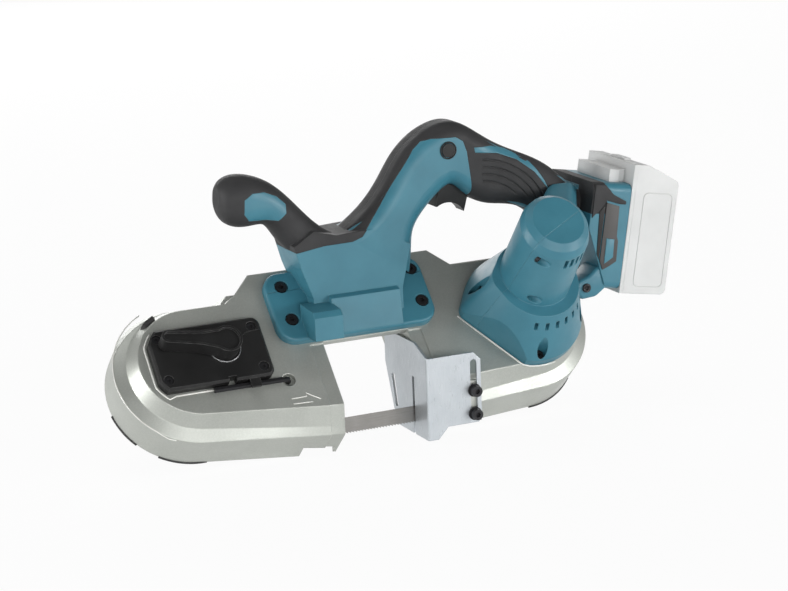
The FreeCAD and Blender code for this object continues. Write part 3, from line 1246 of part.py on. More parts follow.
def gear(teeth, turn, place, wide):
    return prism([point + place for point in gear_wire(teeth, turn)], V(0, 0, wide))


def gear_train():
    """Output gear, counter gear with pinion and shaft, motor pinion, and the plate between gears and fan."""
    half_pitch = math.pi / size.pinion_teeth
    to_counter = math.atan2(size.motor_rise / 2, -COUNTER_REACH)
    to_motor = math.atan2(size.motor_rise / 2, COUNTER_REACH)
    first = V(0, 0, size.gear_low)
    second = V(0, 0, size.first_low)
    output = gear(size.wheel_teeth, to_counter, spindle_axis + first, size.gear_wide)
    shaped("output_gear", one_solid(output.cut(cylinder(size.spindle_radius, spindle_axis, UP,
                                                        2 * size.first_low))),
           LEANING)
    small = gear(size.pinion_teeth, to_counter + math.pi + half_pitch, counter_place + first, size.gear_wide)
    large = gear(size.wheel_teeth, to_motor, counter_place + second, size.first_wide)
    seat = size.plate_top - size.counter_seat
    plate_top = size.gear_plate_low + size.gear_plate_thick
    shaft = cylinder(size.counter_shaft, counter_place + V(0, 0, seat), UP, plate_top - seat)
    hub_low = size.plate_top + size.run_gap
    hub = cylinder(size.counter_hub, counter_place + V(0, 0, hub_low), UP,
                   size.gear_plate_low - size.run_gap - hub_low)
    shaped("counter_gear", one_solid(small.multiFuse([large, shaft, hub])), LEANING)
    past = size.pinion_past
    driver = gear(size.pinion_teeth, to_motor + math.pi + half_pitch, motor_axis + second - V(0, 0, past),
                  size.first_wide + 2 * past)
    shaped("motor_pinion", one_solid(driver.cut(cylinder(size.rotor_shaft, motor_axis, UP,
                                                         2 * size.first_low))), LEANING)
    plate = cylinder(size.gear_plate_radius, spindle_axis + V(0, 0, size.gear_plate_low), UP,
                     size.gear_plate_thick)
    holes = [cylinder(size.small_bearing + size.press_gap, motor_axis, UP, 2 * plate_top),
             cylinder(size.counter_shaft + size.pin_gap, counter_place, UP, 2 * plate_top)]
    shaped("gear_plate", one_solid(plate.cut(holes)), LEANING)


def motor():
    """Stator, rotor, the two bearings and the fan, all about the motor axis."""
    at_motor = at_axis(size.drive_x, size.wheel_m + size.motor_rise)
    can_top = "can_low+can_long"
    end = can_top + "+rear_space+small_bearing_wide"
    turned("motor_stator", sleeve("rotor_radius+air_gap", "can_radius", "can_low", can_top), at_motor)
    turned("motor_rotor", [
        ("0", "first_low-pinion_past"), ("rotor_shaft", "first_low-pinion_past"),
        ("rotor_shaft", "can_low+rotor_inset"),
        ("rotor_radius", "can_low+rotor_inset"), ("rotor_radius", can_top + "-commutator_long"),
        ("commutator", can_top + "-commutator_long"), ("commutator", can_top + "-1"),
        ("rotor_shaft", can_top + "-1"), ("rotor_shaft", end), ("0", end)], at_motor)
    bore = "rotor_shaft+pin_gap"
    turned("motor_bearing_front", sleeve(bore, "small_bearing", "gear_plate_low",
                                         "gear_plate_low+gear_plate_thick"),
           at_motor)
    turned("motor_bearing_rear", sleeve(bore, "small_bearing", can_top + "+rear_space", end), at_motor)
    foot = motor_axis + V(0, 0, size.fan_low)
    high = size.fan_high - size.fan_low
    half = size.vane_thick / 2
    vanes = []
    for step in range(int(size.vane_count)):
        vane = block((size.fan_hub - 1, -half, 0), (size.fan_radius - size.run_gap, half, high))
        vane.Placement = FreeCAD.Placement(foot, FreeCAD.Rotation(UP, 360 * step / size.vane_count))
        vanes.append(vane)
    fan = cylinder(size.fan_hub, foot, UP,
                   high).multiFuse([cylinder(size.fan_radius, foot, UP, size.fan_disc)] + vanes)
    shaped("motor_fan", one_solid(fan.cut(cylinder(size.rotor_shaft, foot, UP, high))), LEANING)


def screws_of_housing():
    flange_screw = (size.flange_screw_head, size.flange_screw_high, size.flange_screw_radius,
                    size.flange_screw_long,
                    size.flange_socket)
    shaped("flange_screws", screws_at(flange_seats, UPRIGHT, *flange_screw), LEANING)
    seats, outward = shell_seats()
    screws = [screws_at([place], outward, size.shell_screw_head, size.shell_screw_high,
                        size.shell_screw_radius, length,
                        size.flange_socket) for place, length in seats]
    shaped("housing_screws", Part.makeCompound([group.Solids[0] for group in screws]), LEANING)


motor_housing()
gear_train()
motor()
screws_of_housing()

# Battery


def pack_outline(inset, near):
    """Side view of the pack in its own frame: flat faces and a sloped top end."""
    deep = size.pack_deep - inset
    return [V(near, 0, -size.pack_low + inset), V(deep, 0, -size.pack_low + inset),
            V(deep, 0, size.pack_slope_high - inset),
            V(size.pack_slope_in - inset / 2, 0, size.pack_high - inset),
            V(near, 0, size.pack_high - inset)]


def battery():
    half = size.pack_half_y
    gap = size.run_gap
    wall = size.pack_wall
    high = size.pack_high
    face = gap + size.pack_plate
    shell = prism([p - V(0, half, 0) for p in pack_outline(0, face)], V(0, 2 * half, 0))
    shell = rounded(shell, size.pack_round,
                    lambda edge: along(edge, V(0, 1, 0)) and edge.CenterOfMass.x > size.pack_round)
    room = prism([p - V(0, half - wall, 0) for p in pack_outline(wall, gap)], V(0, 2 * (half - wall), 0))
    room = room.cut(block((0, -half, high - size.pack_lid), (size.pack_deep, half, high)))
    button = size.pack_button_half
    near, far = size.pack_button_near, size.pack_button_far
    pocket = block((near, -button - gap, high - size.pack_button_low - size.pack_button_room),
                   (far + gap, button + gap, 2 * high))
    shaped("battery_case", one_solid(shell.cut([room, pocket])), pack_frame())
    key = block((near + gap, -button, high - size.pack_button_low),
                (far, button, high + size.pack_button_proud))
    key = rounded(key, size.pack_button_proud, lambda edge: along(edge, UP))
    shaped("battery_button", key, pack_frame())
    plate = block((gap, -half, -size.pack_low), (face, half, high))
    rail_top = high - size.rail_top_in
    neck = block((-size.rail_neck_deep, -size.rail_neck, -size.rail_low), (gap + 1, size.rail_neck, rail_top))
    rail = block((-size.rail_deep, -size.rail_half, -size.rail_low),
                 (-size.rail_neck_deep, size.rail_half, rail_top))
    shaped("battery_rail_cover", one_solid(plate.multiFuse([neck, rail])), pack_frame())
    cells = []
    first = V(face + size.cell_radius + size.cell_gap, -size.cell_long / 2,
              wall - size.pack_low + size.cell_radius + size.cell_gap)
    for row in range(2):
        for step in range(5):
            place = first + V(row * (2 * size.cell_radius + size.cell_gap), 0, step * size.cell_step)
            cells.append(cylinder(size.cell_radius, place, V(0, 1, 0), size.cell_long))
    shaped("battery_cells", Part.makeCompound(cells), pack_frame())
    floor = size.mount_floor - size.mount_low
    side = size.rail_neck - size.terminal_inset
    terminal = block((-size.rail_deep, -side, floor), (-size.terminal_near, side, floor + size.terminal_high))
    shaped("terminal_block", terminal, pack_frame())


battery()

doc.recompute()
for item in doc.Objects:
    if "Invalid" in item.State or "Error" in item.State:
        raise RuntimeError("%s failed: %s" % (item.Name, item.State))
os.makedirs("parts", exist_ok=True)
for label, feature in parts.items():
    if feature.Shape.isNull() or not feature.Shape.isValid():
        raise RuntimeError("%s has no valid shape" % label)
    feature.Shape.exportStep(os.path.join("parts", label + ".step"))
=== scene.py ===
"""Looks of a portable band saw: finishes for every piece, small trim, a plain stage and the camera."""
import json
import math

import bmesh
import bpy
from mathutils import Matrix, Vector


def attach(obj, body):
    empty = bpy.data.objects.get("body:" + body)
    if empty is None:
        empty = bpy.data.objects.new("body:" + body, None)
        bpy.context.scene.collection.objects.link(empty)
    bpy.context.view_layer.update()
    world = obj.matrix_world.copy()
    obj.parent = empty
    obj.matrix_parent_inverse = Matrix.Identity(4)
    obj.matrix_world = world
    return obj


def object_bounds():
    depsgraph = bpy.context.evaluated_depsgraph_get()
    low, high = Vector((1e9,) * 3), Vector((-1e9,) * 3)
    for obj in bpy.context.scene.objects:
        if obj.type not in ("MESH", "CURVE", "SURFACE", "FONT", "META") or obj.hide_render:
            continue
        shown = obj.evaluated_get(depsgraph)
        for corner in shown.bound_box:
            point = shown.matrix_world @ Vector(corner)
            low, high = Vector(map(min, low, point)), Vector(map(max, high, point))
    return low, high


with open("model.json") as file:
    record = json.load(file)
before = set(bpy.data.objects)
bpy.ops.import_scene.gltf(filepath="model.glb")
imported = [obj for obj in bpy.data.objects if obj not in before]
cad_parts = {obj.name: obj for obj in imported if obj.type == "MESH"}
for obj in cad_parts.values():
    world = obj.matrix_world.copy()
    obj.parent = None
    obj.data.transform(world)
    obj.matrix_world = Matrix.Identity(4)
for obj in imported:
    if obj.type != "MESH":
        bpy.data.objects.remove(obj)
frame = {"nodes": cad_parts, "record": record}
cad_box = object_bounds()
MM = 0.001
UP = Vector((0.0, 0.0, 1.0))
FRONT = Vector((0.0, -1.0, 0.0))
WHITE = (1.0, 1.0, 1.0, 1.0)

# Camera, as found from the blade, the stop plate and the upright edges
IMAGE_WIDTH = 788
FOCAL_PIXELS = 2647.0
SENSOR_WIDTH = 36.0
CAMERA_PLACE = Vector((-808.4, -1783.2, 578.6)) * MM
CAMERA_TURN = math.radians(24.04)
CAMERA_DROP = math.radians(13.71)
CAMERA_ROLL = math.radians(2.36)

# Stage: sizes in metres, light as a share of white
FLOOR_RADIUS = 6.0
FLOOR_SIDES = 96
FLOOR_GAP = 0.2 * MM
FLOOR_TONE = (0.9, 0.9, 0.9, 1.0)
FLOOR_SEEN = 0.94
FLOOR_MIRRORED = 0.8
WALL_LIGHT = 0.6
CEILING_LIGHT = 0.12
WALL_LEVEL = -0.1
CEILING_LEVEL = 0.8
SAW_MIDDLE = (0.0, 0.0, 0.1)
SAW_FOOT = (0.0, 0.0, 0.05)

# Name, place, aim, width and height in metres, and watts of each lamp
SOFTBOXES = (
    ("key_softbox", (-0.6, -2.9, 0.3), SAW_MIDDLE, (2.6, 0.9), 44.0),
    ("left_softbox", (-2.6, 0.2, 0.3), SAW_FOOT, (1.8, 0.8), 44.0),
    ("right_softbox", (2.0, -2.0, 0.35), SAW_MIDDLE, (1.4, 0.9), 40.0),
    ("top_softbox", (-0.3, 0.4, 2.4), SAW_MIDDLE, (1.8, 1.4), 12.0),
    ("back_softbox", (0.5, 2.7, 0.9), SAW_MIDDLE, (2.2, 1.2), 30.0),
)

# The wheels and their housings lean back about the blade line, and the battery is turned on its mount
LEAN_TURN = Matrix.Rotation(math.radians(47.4), 4, "X")
PACK_MIDDLE = Vector((187.0, 36.0, 116.0)) * MM
PACK_TURN = Matrix.Translation(PACK_MIDDLE) @ Matrix.Rotation(math.radians(9.5), 4, "Y")
PACK_HALF = 37.5

# Places on the leaning plate, in millimetres along the blade and up the plate, and heights square to it
IDLER = (-171.0, 60.0)
DRIVE = (100.0, 60.0)
END_RADIUS = 59.5
RIM_LOW = -8.4
SHOULDER = 24.0
LEVER = (-149.5, 64.0)
COVER_LEFT = -207.2
PLATE_TOP = 40.2
COVER_TOP = 48.0

# Trim in millimetres: radii of beads, thicknesses and broken edges of flat mouldings,
# and how far they stand off or sink in
RUBBER_LIP = 1.3
RUBBER_LIP_SINK = 0.4
END_HIGHLIGHT = 0.5
FLANGE_LIP = 0.7
FLANGE_LIFT = 0.2
COVER_LIP = 0.75
COVER_LIP_ROUND = 39.8
ARROW_STROKE = 0.42
ARROW_LIFT = 0.05
LEVER_RING = 0.4
LEVER_RING_ROUND = 12.6
LEVER_RING_LIFT = 1.0
COVER_SEAM = 0.45
REST_INNER = 45.4
REST_OUTER = 49.0
REST_TURNS = (116.0, 130.0)
REST_FOOT = 27.0
REST_TALL = 12.5
REST_BREAK = 0.8
PANEL_THICK = 1.2
PANEL_BREAK = 0.35
TAG_SEAT = 1.1
TAG_THICK = 0.6
TAG_BREAK = 0.2
CAP_THICK = 1.0
CAP_BREAK = 0.4
LUG_SINK = 1.0
LUG_DEEP = 24.0
LUG_BREAK = 2.6
LUG_SCREW = (-29.3, -35.6)
LUG_SCREW_RADIUS = 3.6
LUG_SCREW_HIGH = 1.6
LABEL_START = Vector((14.5, 0.0, 63.4))
LABEL_SLOPE = Vector((29.0, 0.0, -12.0)).normalized()
LABEL_THICK = 0.35
LABEL_BREAK = 0.12
BORDER = 0.45
BORDER_ROUND = 4.0
BUTTON = (45.0, 205.0)
# Black ring painted as the shade round the lock-off button
SHADOW_RING = 0.6
SHADOW_RING_ROUND = 6.4
SHADOW_RING_SIDES = {"front": 16.8, "rear": 55.2}

# Fineness of the trim's round shapes: sides, steps, and degrees between steps
BEAD_SIDES = 10
HEAD_SIDES = 36
HEX_SIDES = 6
BREAK_STEPS = 3
CIRCLE_STEPS = 36
COVER_LIP_STEPS = 24
REST_STEPS = 8
BORDER_STEPS = 5
WALL_STEP = 4.0

# Sizes of the patterns in the finishes
MOTTLE = 30.0 * MM
SCUFF_AND_SHINE = 6.0 * MM
SMEAR = 12.0 * MM
COAT_PATCH = 50.0 * MM
COAT_FLECK = 1.2 * MM
COAT_RUB_AND_SHINE = 8.0 * MM
COAT_PEEL = 1.6 * MM
COAT_SHEEN = 20.0 * MM
LAY_LINE = 0.6 * MM
STAIN = 15.0 * MM
LENS_RIPPLE = 2.0 * MM
BOARD_SMEAR = 4.0 * MM
BOARD_TRACKS = 260.0
PAPER_GRAIN = 20.0 * MM

# Roundings and depths in the finishes, shares of their marks, and spreads of their roughness
COAT_ROUNDING = 1.4 * MM
LENS_ROUNDING = 0.3 * MM
BOARD_ROUNDING = 0.2 * MM
PEEL_DEPTH = 0.12 * MM
LAY_DEPTH = 0.03 * MM
RIPPLE_DEPTH = 0.05 * MM
TRACK_DEPTH = 0.05 * MM
FLECK_SHARE = 0.25
BARE_AND_HIGHLIGHT_SHARE = 0.6
STAIN_SHARE = 0.25
LAY_SHARE = 0.2
PLASTIC_SMEARS = (-0.07, 0.08)
METAL_SMEARS = (-0.08, 0.1)
COAT_ROUGH = (0.34, 0.46)
LENS_ROUGH = (0.04, 0.12)
BOARD_ROUGH = (0.3, 0.45)
ROUNDING_SAMPLES = 6
OPEN_FACE = 0.99
FULL_EDGE = 0.86

# Stretch of a metal's lay lines along the three axes
EVEN_LAY = (1.0, 1.0, 1.0)
LENGTHWISE_LAY = (0.04, 1.0, 1.0)
CROSSWISE_LAY = (1.0, 0.1, 1.0)
UPRIGHT_LAY = (1.0, 1.0, 0.06)


def srgb(red, green, blue):
    """A colour given as 8-bit display values, as the shader's linear one."""
    def linear(value):
        share = value / 255.0
        return share / 12.92 if share <= 0.04045 else ((share + 0.055) / 1.055) ** 2.4
    return (linear(red), linear(green), linear(blue), 1.0)


class Field:
    """A socket that varies over a surface; its operators add Math nodes."""

    def __init__(self, shading, socket):
        self.shading = shading
        self.socket = socket

    def _math(self, operation, first, second):
        return self.shading.node("ShaderNodeMath", {"operation": operation}, {0: first, 1: second})

    def __add__(self, other):
        return self._math("ADD", self, other)

    def __radd__(self, other):
        return self._math("ADD", other, self)

    def __mul__(self, other):
        return self._math("MULTIPLY", self, other)

    def __rmul__(self, other):
        return self._math("MULTIPLY", other, self)


class Shading:
    """A node tree, emptied, with one way to add any node to it."""

    def __init__(self, tree):
        self.tree = tree
        self.tree.nodes.clear()

    def node(self, kind, settings=None, sockets=None, output=0):
        made = self.tree.nodes.new(kind)
        for key, value in (settings or {}).items():
            setattr(made, key, value)
        for key, value in (sockets or {}).items():
            if isinstance(value, Field):
                self.tree.links.new(value.socket, made.inputs[key])
            else:
                made.inputs[key].default_value = value
        return Field(self, made.outputs[output]) if len(made.outputs) else None


class Finish(Shading):
    """One procedural material, with short names for the nodes that the finishes share."""

    def __init__(self, name):
        self.material = bpy.data.materials.new(name)
        self.material.use_nodes = True
        super().__init__(self.material.node_tree)
        self.place = self.node("ShaderNodeTexCoord", output="Object")

    def stretched(self, across):
        """The piece's own coordinates, squeezed along some axes for lay lines."""
        return self.node("ShaderNodeMapping", {}, {"Vector": self.place, "Scale": across})

    def noise(self, size, detail=3.0, roughness=0.55, place=None):
        """Soft noise whose blobs are about size metres across."""
        sockets = {"Vector": place or self.place, "Scale": 1.0 / size}
        sockets.update({"Detail": detail, "Roughness": roughness})
        return self.node("ShaderNodeTexNoise", {}, sockets)

    def grain(self, size):
        """Small pebbles, as spark-eroded moulds leave them."""
        sockets = {"Vector": self.place, "Scale": 1.0 / size}
        return self.node("ShaderNodeTexVoronoi", {"feature": "SMOOTH_F1"}, sockets)

    def ramp(self, value, start=0.0, end=1.0, low=0.3, high=0.7):
        """A value spread from low..high to start..end, held at both ends."""
        sockets = {"Value": value, "From Min": low, "From Max": high, "To Min": start, "To Max": end}
        return self.node("ShaderNodeMapRange", {"clamp": True}, sockets)

    def mixed(self, share, first, second):
        """Two colours, mixed by a share of the second."""
        sockets = {"Factor": share, 6: first, 7: second}
        return self.node("ShaderNodeMix", {"data_type": "RGBA"}, sockets, output=2)

    def soft_normal(self, radius):
        """The surface's direction with its edges rounded off by radius."""
        return self.node("ShaderNodeBevel", {"samples": ROUNDING_SAMPLES}, {"Radius": radius})

    def edges(self, softened):
        """Near 1 along the edges and near 0 on open faces."""
        flat = self.node("ShaderNodeNewGeometry", output="Normal")
        sockets = {0: softened, 1: flat}
        along = self.node("ShaderNodeVectorMath", {"operation": "DOT_PRODUCT"}, sockets, output="Value")
        return self.ramp(along, low=OPEN_FACE, high=FULL_EDGE)

    def bumped(self, height, depth, normal, strength):
        """A direction with a relief of this depth on it."""
        sockets = {"Height": height, "Distance": depth, "Strength": strength, "Normal": normal}
        return self.node("ShaderNodeBump", {}, sockets)

    def finished(self, **sockets):
        """Closes the material with one Principled shader."""
        named = {key.replace("_", " "): value for key, value in sockets.items()}
        shader = self.node("ShaderNodeBsdfPrincipled", {}, named)
        self.node("ShaderNodeOutputMaterial", {}, {"Surface": shader})
        return self.material


def moulded(name, tone, dark, wear_and_highlight, wear_and_highlight_share, pebble, depth, rough, rounding, gloss=0.5):
    """Moulded plastic or rubber: mottling, pebbled grain and paler edges, partly rubbed wear and partly
    painted highlight; sizes in millimetres.
    """
    finish = Finish(name)
    softened = finish.soft_normal(rounding * MM)
    base = finish.mixed(finish.ramp(finish.noise(MOTTLE)), dark, tone)
    scuff_and_shine = finish.ramp(finish.noise(SCUFF_AND_SHINE, detail=4.0), low=0.35, high=0.75)
    # Paler edges: partly rubbed wear, partly painted highlight
    base = finish.mixed(finish.edges(softened) * scuff_and_shine * wear_and_highlight_share, base, wear_and_highlight)
    shiny, dull = (rough + step for step in PLASTIC_SMEARS)
    return finish.finished(
        Base_Color=base,
        Roughness=finish.ramp(finish.noise(SMEAR, detail=5.0), shiny, dull, high=0.75),
        Specular_IOR_Level=gloss,
        Normal=finish.bumped(finish.grain(pebble * MM), depth * MM, softened, strength=0.6),
    )


def cast_frame():
    """Painted light alloy with the faint orange peel of its coat and paler edges, partly bare rubbed metal
    and partly painted highlight.
    """
    finish = Finish("cast_frame_coat")
    softened = finish.soft_normal(COAT_ROUNDING)
    base = finish.mixed(finish.ramp(finish.noise(COAT_PATCH)), srgb(168, 171, 165), srgb(180, 183, 177))
    flecks = finish.ramp(finish.noise(COAT_FLECK, detail=2.0), low=0.4)
    base = finish.mixed(flecks * FLECK_SHARE, base, srgb(200, 202, 196))
    # Paler edges: partly bare rubbed metal, partly painted highlight
    wear_and_highlight = finish.edges(softened) * finish.ramp(finish.noise(COAT_RUB_AND_SHINE, detail=5.0))
    base = finish.mixed(wear_and_highlight * BARE_AND_HIGHLIGHT_SHARE, base, srgb(218, 218, 212))
    peel = finish.noise(COAT_PEEL)
    shiny, dull = COAT_ROUGH
    return finish.finished(
        Base_Color=base,
        Roughness=finish.ramp(finish.noise(COAT_SHEEN, detail=4.0), shiny, dull),
        Metallic=0.6,
        Normal=finish.bumped(peel, PEEL_DEPTH, softened, strength=0.5),
    )


def metal(name, tone, dark, rough, lay=EVEN_LAY, rounding=0.4, metallic=0.9):
    """Bare or plated metal: lay lines along one axis and cloudy stains; the rounding in millimetres."""
    finish = Finish(name)
    softened = finish.soft_normal(rounding * MM)
    lines = finish.noise(LAY_LINE, detail=2.0, roughness=0.5, place=finish.stretched(lay))
    stains = finish.ramp(finish.noise(STAIN, detail=4.0), low=0.35)
    base = finish.mixed(stains * STAIN_SHARE, tone, dark)
    base = finish.mixed(finish.ramp(lines) * LAY_SHARE, base, dark)
    shiny, dull = (rough + step for step in METAL_SMEARS)
    return finish.finished(
        Base_Color=base,
        Roughness=finish.ramp(lines, shiny, dull),
        Metallic=metallic,
        Normal=finish.bumped(lines, LAY_DEPTH, softened, strength=0.4),
    )


def clear_lens():
    """Clear moulding of the work lamp, with a slight ripple."""
    finish = Finish("clear_lens_moulding")
    softened = finish.soft_normal(LENS_ROUNDING)
    ripple = finish.noise(LENS_RIPPLE, detail=2.0)
    shiny, dull = LENS_ROUGH
    return finish.finished(
        Base_Color=finish.mixed(ripple, srgb(225, 232, 236), srgb(245, 248, 250)),
        Roughness=finish.ramp(ripple, shiny, dull),
        Transmission_Weight=0.9,
        IOR=1.49,
        Normal=finish.bumped(ripple, RIPPLE_DEPTH, softened, strength=0.3),
    )


def circuit_board():
    """Green mask of the lamp's board over raised tracks."""
    finish = Finish("circuit_board_mask")
    softened = finish.soft_normal(BOARD_ROUNDING)
    sockets = {"Vector": finish.place, "Scale": BOARD_TRACKS, "Mortar Size": 0.06}
    tracks = finish.node("ShaderNodeTexBrick", {}, sockets, output="Fac")
    shiny, dull = BOARD_ROUGH
    return finish.finished(
        Base_Color=finish.mixed(tracks, srgb(22, 82, 50), srgb(60, 120, 70)),
        Roughness=finish.ramp(finish.noise(BOARD_SMEAR), shiny, dull),
        Normal=finish.bumped(tracks, TRACK_DEPTH, softened, strength=0.4),
    )


# The third colour of each moulding is its paler edge colour, partly wear and partly painted highlight
FINISHES = {
    "cast_frame": cast_frame(),
    "black_rubber": moulded(
        "black_rubber_strip", srgb(44, 44, 44), srgb(34, 34, 34), srgb(84, 84, 84), 0.5,
        pebble=0.9, depth=0.1, rough=0.7, rounding=0.8,
    ),
    "soft_grip": moulded(
        "soft_grip_overmould", srgb(50, 50, 51), srgb(41, 41, 42), srgb(88, 88, 88), 0.45,
        pebble=0.7, depth=0.12, rough=0.62, rounding=1.2, gloss=0.35,
    ),
    "teal_shell": moulded(
        "teal_shell_plastic", srgb(62, 122, 139), srgb(54, 112, 129), srgb(116, 168, 181), 0.5,
        pebble=0.5, depth=0.05, rough=0.42, rounding=1.0,
    ),
    "black_plastic": moulded(
        "black_plastic_moulding", srgb(34, 34, 34), srgb(25, 25, 25), srgb(128, 128, 127), 0.8,
        pebble=0.45, depth=0.05, rough=0.42, rounding=0.7, gloss=0.3,
    ),
    "pack_shell": moulded(
        "battery_shell_plastic", srgb(212, 213, 212), srgb(203, 204, 203), srgb(232, 232, 231), 0.5,
        pebble=0.5, depth=0.05, rough=0.45, rounding=1.0,
    ),
    "wheel_casting": metal("wheel_casting_alloy", srgb(176, 177, 178), srgb(140, 141, 143), 0.42),
    "blade_steel": metal(
        "blade_band_steel", srgb(148, 146, 143), srgb(104, 102, 99), 0.36, LENGTHWISE_LAY, rounding=0.1,
    ),
    "machined_steel": metal(
        "machined_steel_parts", srgb(184, 185, 187), srgb(142, 144, 147), 0.3, CROSSWISE_LAY,
    ),
    "black_screws": metal(
        "black_oxide_screws", srgb(52, 52, 54), srgb(34, 34, 36), 0.4, rounding=0.3, metallic=0.7,
    ),
    "plated_sheet": metal(
        "plated_sheet_steel", srgb(196, 201, 205), srgb(158, 166, 172), 0.34, UPRIGHT_LAY,
        rounding=0.6, metallic=0.75,
    ),
    "cell_can": metal(
        "cell_can_wrap", srgb(120, 146, 156), srgb(92, 120, 132), 0.4, rounding=0.3, metallic=0.3,
    ),
    "clear_lens": clear_lens(),
    "circuit_board": circuit_board(),
}

# Finishes that only the trim has
# Near-white alloy that paints highlights on the frame's raised lines and edges
HIGHLIGHT_ALLOY = metal(
    "painted_highlight_alloy", srgb(232, 232, 227), srgb(210, 210, 204), 0.4, rounding=0.2, metallic=0.3,
)
PANEL_GREY = moulded(
    "mount_panel_plastic", srgb(62, 60, 59), srgb(52, 50, 49), srgb(112, 110, 108), 0.5,
    pebble=0.5, depth=0.05, rough=0.45, rounding=0.4,
)
LABEL_PAPER = moulded(
    "battery_label_paper", srgb(238, 238, 233), srgb(230, 230, 225), srgb(246, 246, 244), 0.3,
    pebble=0.8, depth=0.02, rough=0.5, rounding=0.2,
)


def dress_nodes():
    """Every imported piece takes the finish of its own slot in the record."""
    slot_of = {part["node"]: part["material_slot"] for part in frame["record"]["subparts"]}
    for name, piece in frame["nodes"].items():
        piece.data.materials.clear()
        piece.data.materials.append(FINISHES[slot_of[name]])


def settled(name, grown, slot, finish, body):
    """Closes a grown mesh as a piece of its own that moves with one body."""
    bmesh.ops.recalc_face_normals(grown, faces=grown.faces[:])
    mesh = bpy.data.meshes.new(name)
    grown.to_mesh(mesh)
    grown.free()
    for polygon in mesh.polygons:
        polygon.use_smooth = True
    piece = bpy.data.objects.new(name, mesh)
    bpy.context.scene.collection.objects.link(piece)
    piece.data.materials.append(finish or FINISHES[slot])
    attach(piece, body)


def ring(grown, place, along, radius, sides, capped=False):
    """Circle of edges square to a direction, for a bead or a screw head to be bridged from."""
    turn = UP.rotation_difference(along).to_matrix().to_4x4()
    made = bmesh.ops.create_circle(
        grown, cap_ends=capped, segments=sides, radius=radius, matrix=Matrix.Translation(place) @ turn
    )
    return list({edge for vertex in made["verts"] for edge in vertex.link_edges})


def bead(name, path, radius, slot, finish=None, body="root", closed=False):
    """Round bead laid along a run of points; its radius in millimetres."""
    grown = bmesh.new()
    last = len(path) - 1
    rings = []
    for index, place in enumerate(path):
        ahead = path[(index + 1) % len(path)] if closed else path[min(index + 1, last)]
        behind = path[index - 1] if closed else path[max(index - 1, 0)]
        capped = not closed and index in (0, last)
        rings.append(ring(grown, place, (ahead - behind).normalized(), radius * MM, BEAD_SIDES, capped))
    for index in range(0 if closed else 1, len(rings)):
        bmesh.ops.bridge_loops(grown, edges=rings[index - 1] + rings[index])
    settled(name, grown, slot, finish, body)


def slab(name, outline, facing, thick, broken, slot, finish=None, body="root"):
    """Flat moulding on a closed outline, with all its edges broken; thickness and edges in millimetres."""
    grown = bmesh.new()
    face = grown.faces.new([grown.verts.new(place) for place in outline])
    raised = bmesh.ops.extrude_face_region(grown, geom=[face])["geom"]
    corners = [item for item in raised if isinstance(item, bmesh.types.BMVert)]
    bmesh.ops.translate(grown, verts=corners, vec=facing * (thick * MM))
    bmesh.ops.recalc_face_normals(grown, faces=grown.faces[:])
    bmesh.ops.bevel(
        grown, geom=grown.edges[:], offset=broken * MM, offset_type="OFFSET", segments=BREAK_STEPS,
        profile=0.5, affect="EDGES", material=-1, clamp_overlap=True,
    )
    settled(name, grown, slot, finish, body)


def socket_head(name, place, facing, radius, high, slot, finish=None, body="root"):
    """Head of a socket screw: chamfered rim and a hexagonal recess; its sizes in millimetres."""
    grown = bmesh.new()
    # Shares of the radius and of the height, from the seat over the rim to the recess's floor
    steps = (
        (1.0, 0.0, HEAD_SIDES), (1.0, 0.8, HEAD_SIDES), (0.88, 1.0, HEAD_SIDES),
        (0.5, 1.0, HEX_SIDES), (0.5, 0.35, HEX_SIDES),
    )
    rings = []
    for index, (reach, level, sides) in enumerate(steps):
        capped = index in (0, len(steps) - 1)
        centre = place + facing * (level * (high * MM))
        rings.append(ring(grown, centre, facing, radius * MM * reach, sides, capped))
    for near, far in zip(rings, rings[1:]):
        bmesh.ops.bridge_loops(grown, edges=near + far)
    settled(name, grown, slot, finish, body)


def on_plate(points, height):
    """Places of points given along the blade and up the leaning plate, in millimetres."""
    return [LEAN_TURN @ Vector((x * MM, up * MM, height * MM)) for x, up in points]


def on_mount(points, depth):
    """Places of points given across and up the battery mount, in millimetres."""
    return [PACK_TURN @ Vector((x * MM, depth * MM, z * MM)) for x, z in points]


def arc(middle, radius, start, end, steps):
    """Points of a circle between two angles in degrees."""
    turns = [math.radians(start + (end - start) * step / steps) for step in range(steps + 1)]
    return [(middle[0] + radius * math.cos(t), middle[1] + radius * math.sin(t)) for t in turns]


def circle(middle, radius):
    """Points of a full circle, each of them once."""
    return arc(middle, radius, 0.0, 360.0 - 360.0 / CIRCLE_STEPS, CIRCLE_STEPS - 1)


def on_wall(middle, radius, stops):
    """Places on a housing's round wall, a step every few degrees, from (angle, height) stops."""
    places = []
    for (turn, height), (far, high) in zip(stops, stops[1:]):
        steps = max(1, round(abs(far - turn) / WALL_STEP))
        for step in range(steps):
            share = step / steps
            angle = math.radians(turn + (far - turn) * share)
            across = middle[0] + radius * math.cos(angle)
            up = middle[1] + radius * math.sin(angle)
            places.append(Vector((across, up, height + (high - height) * share)))
    return [LEAN_TURN @ (place * MM) for place in places]


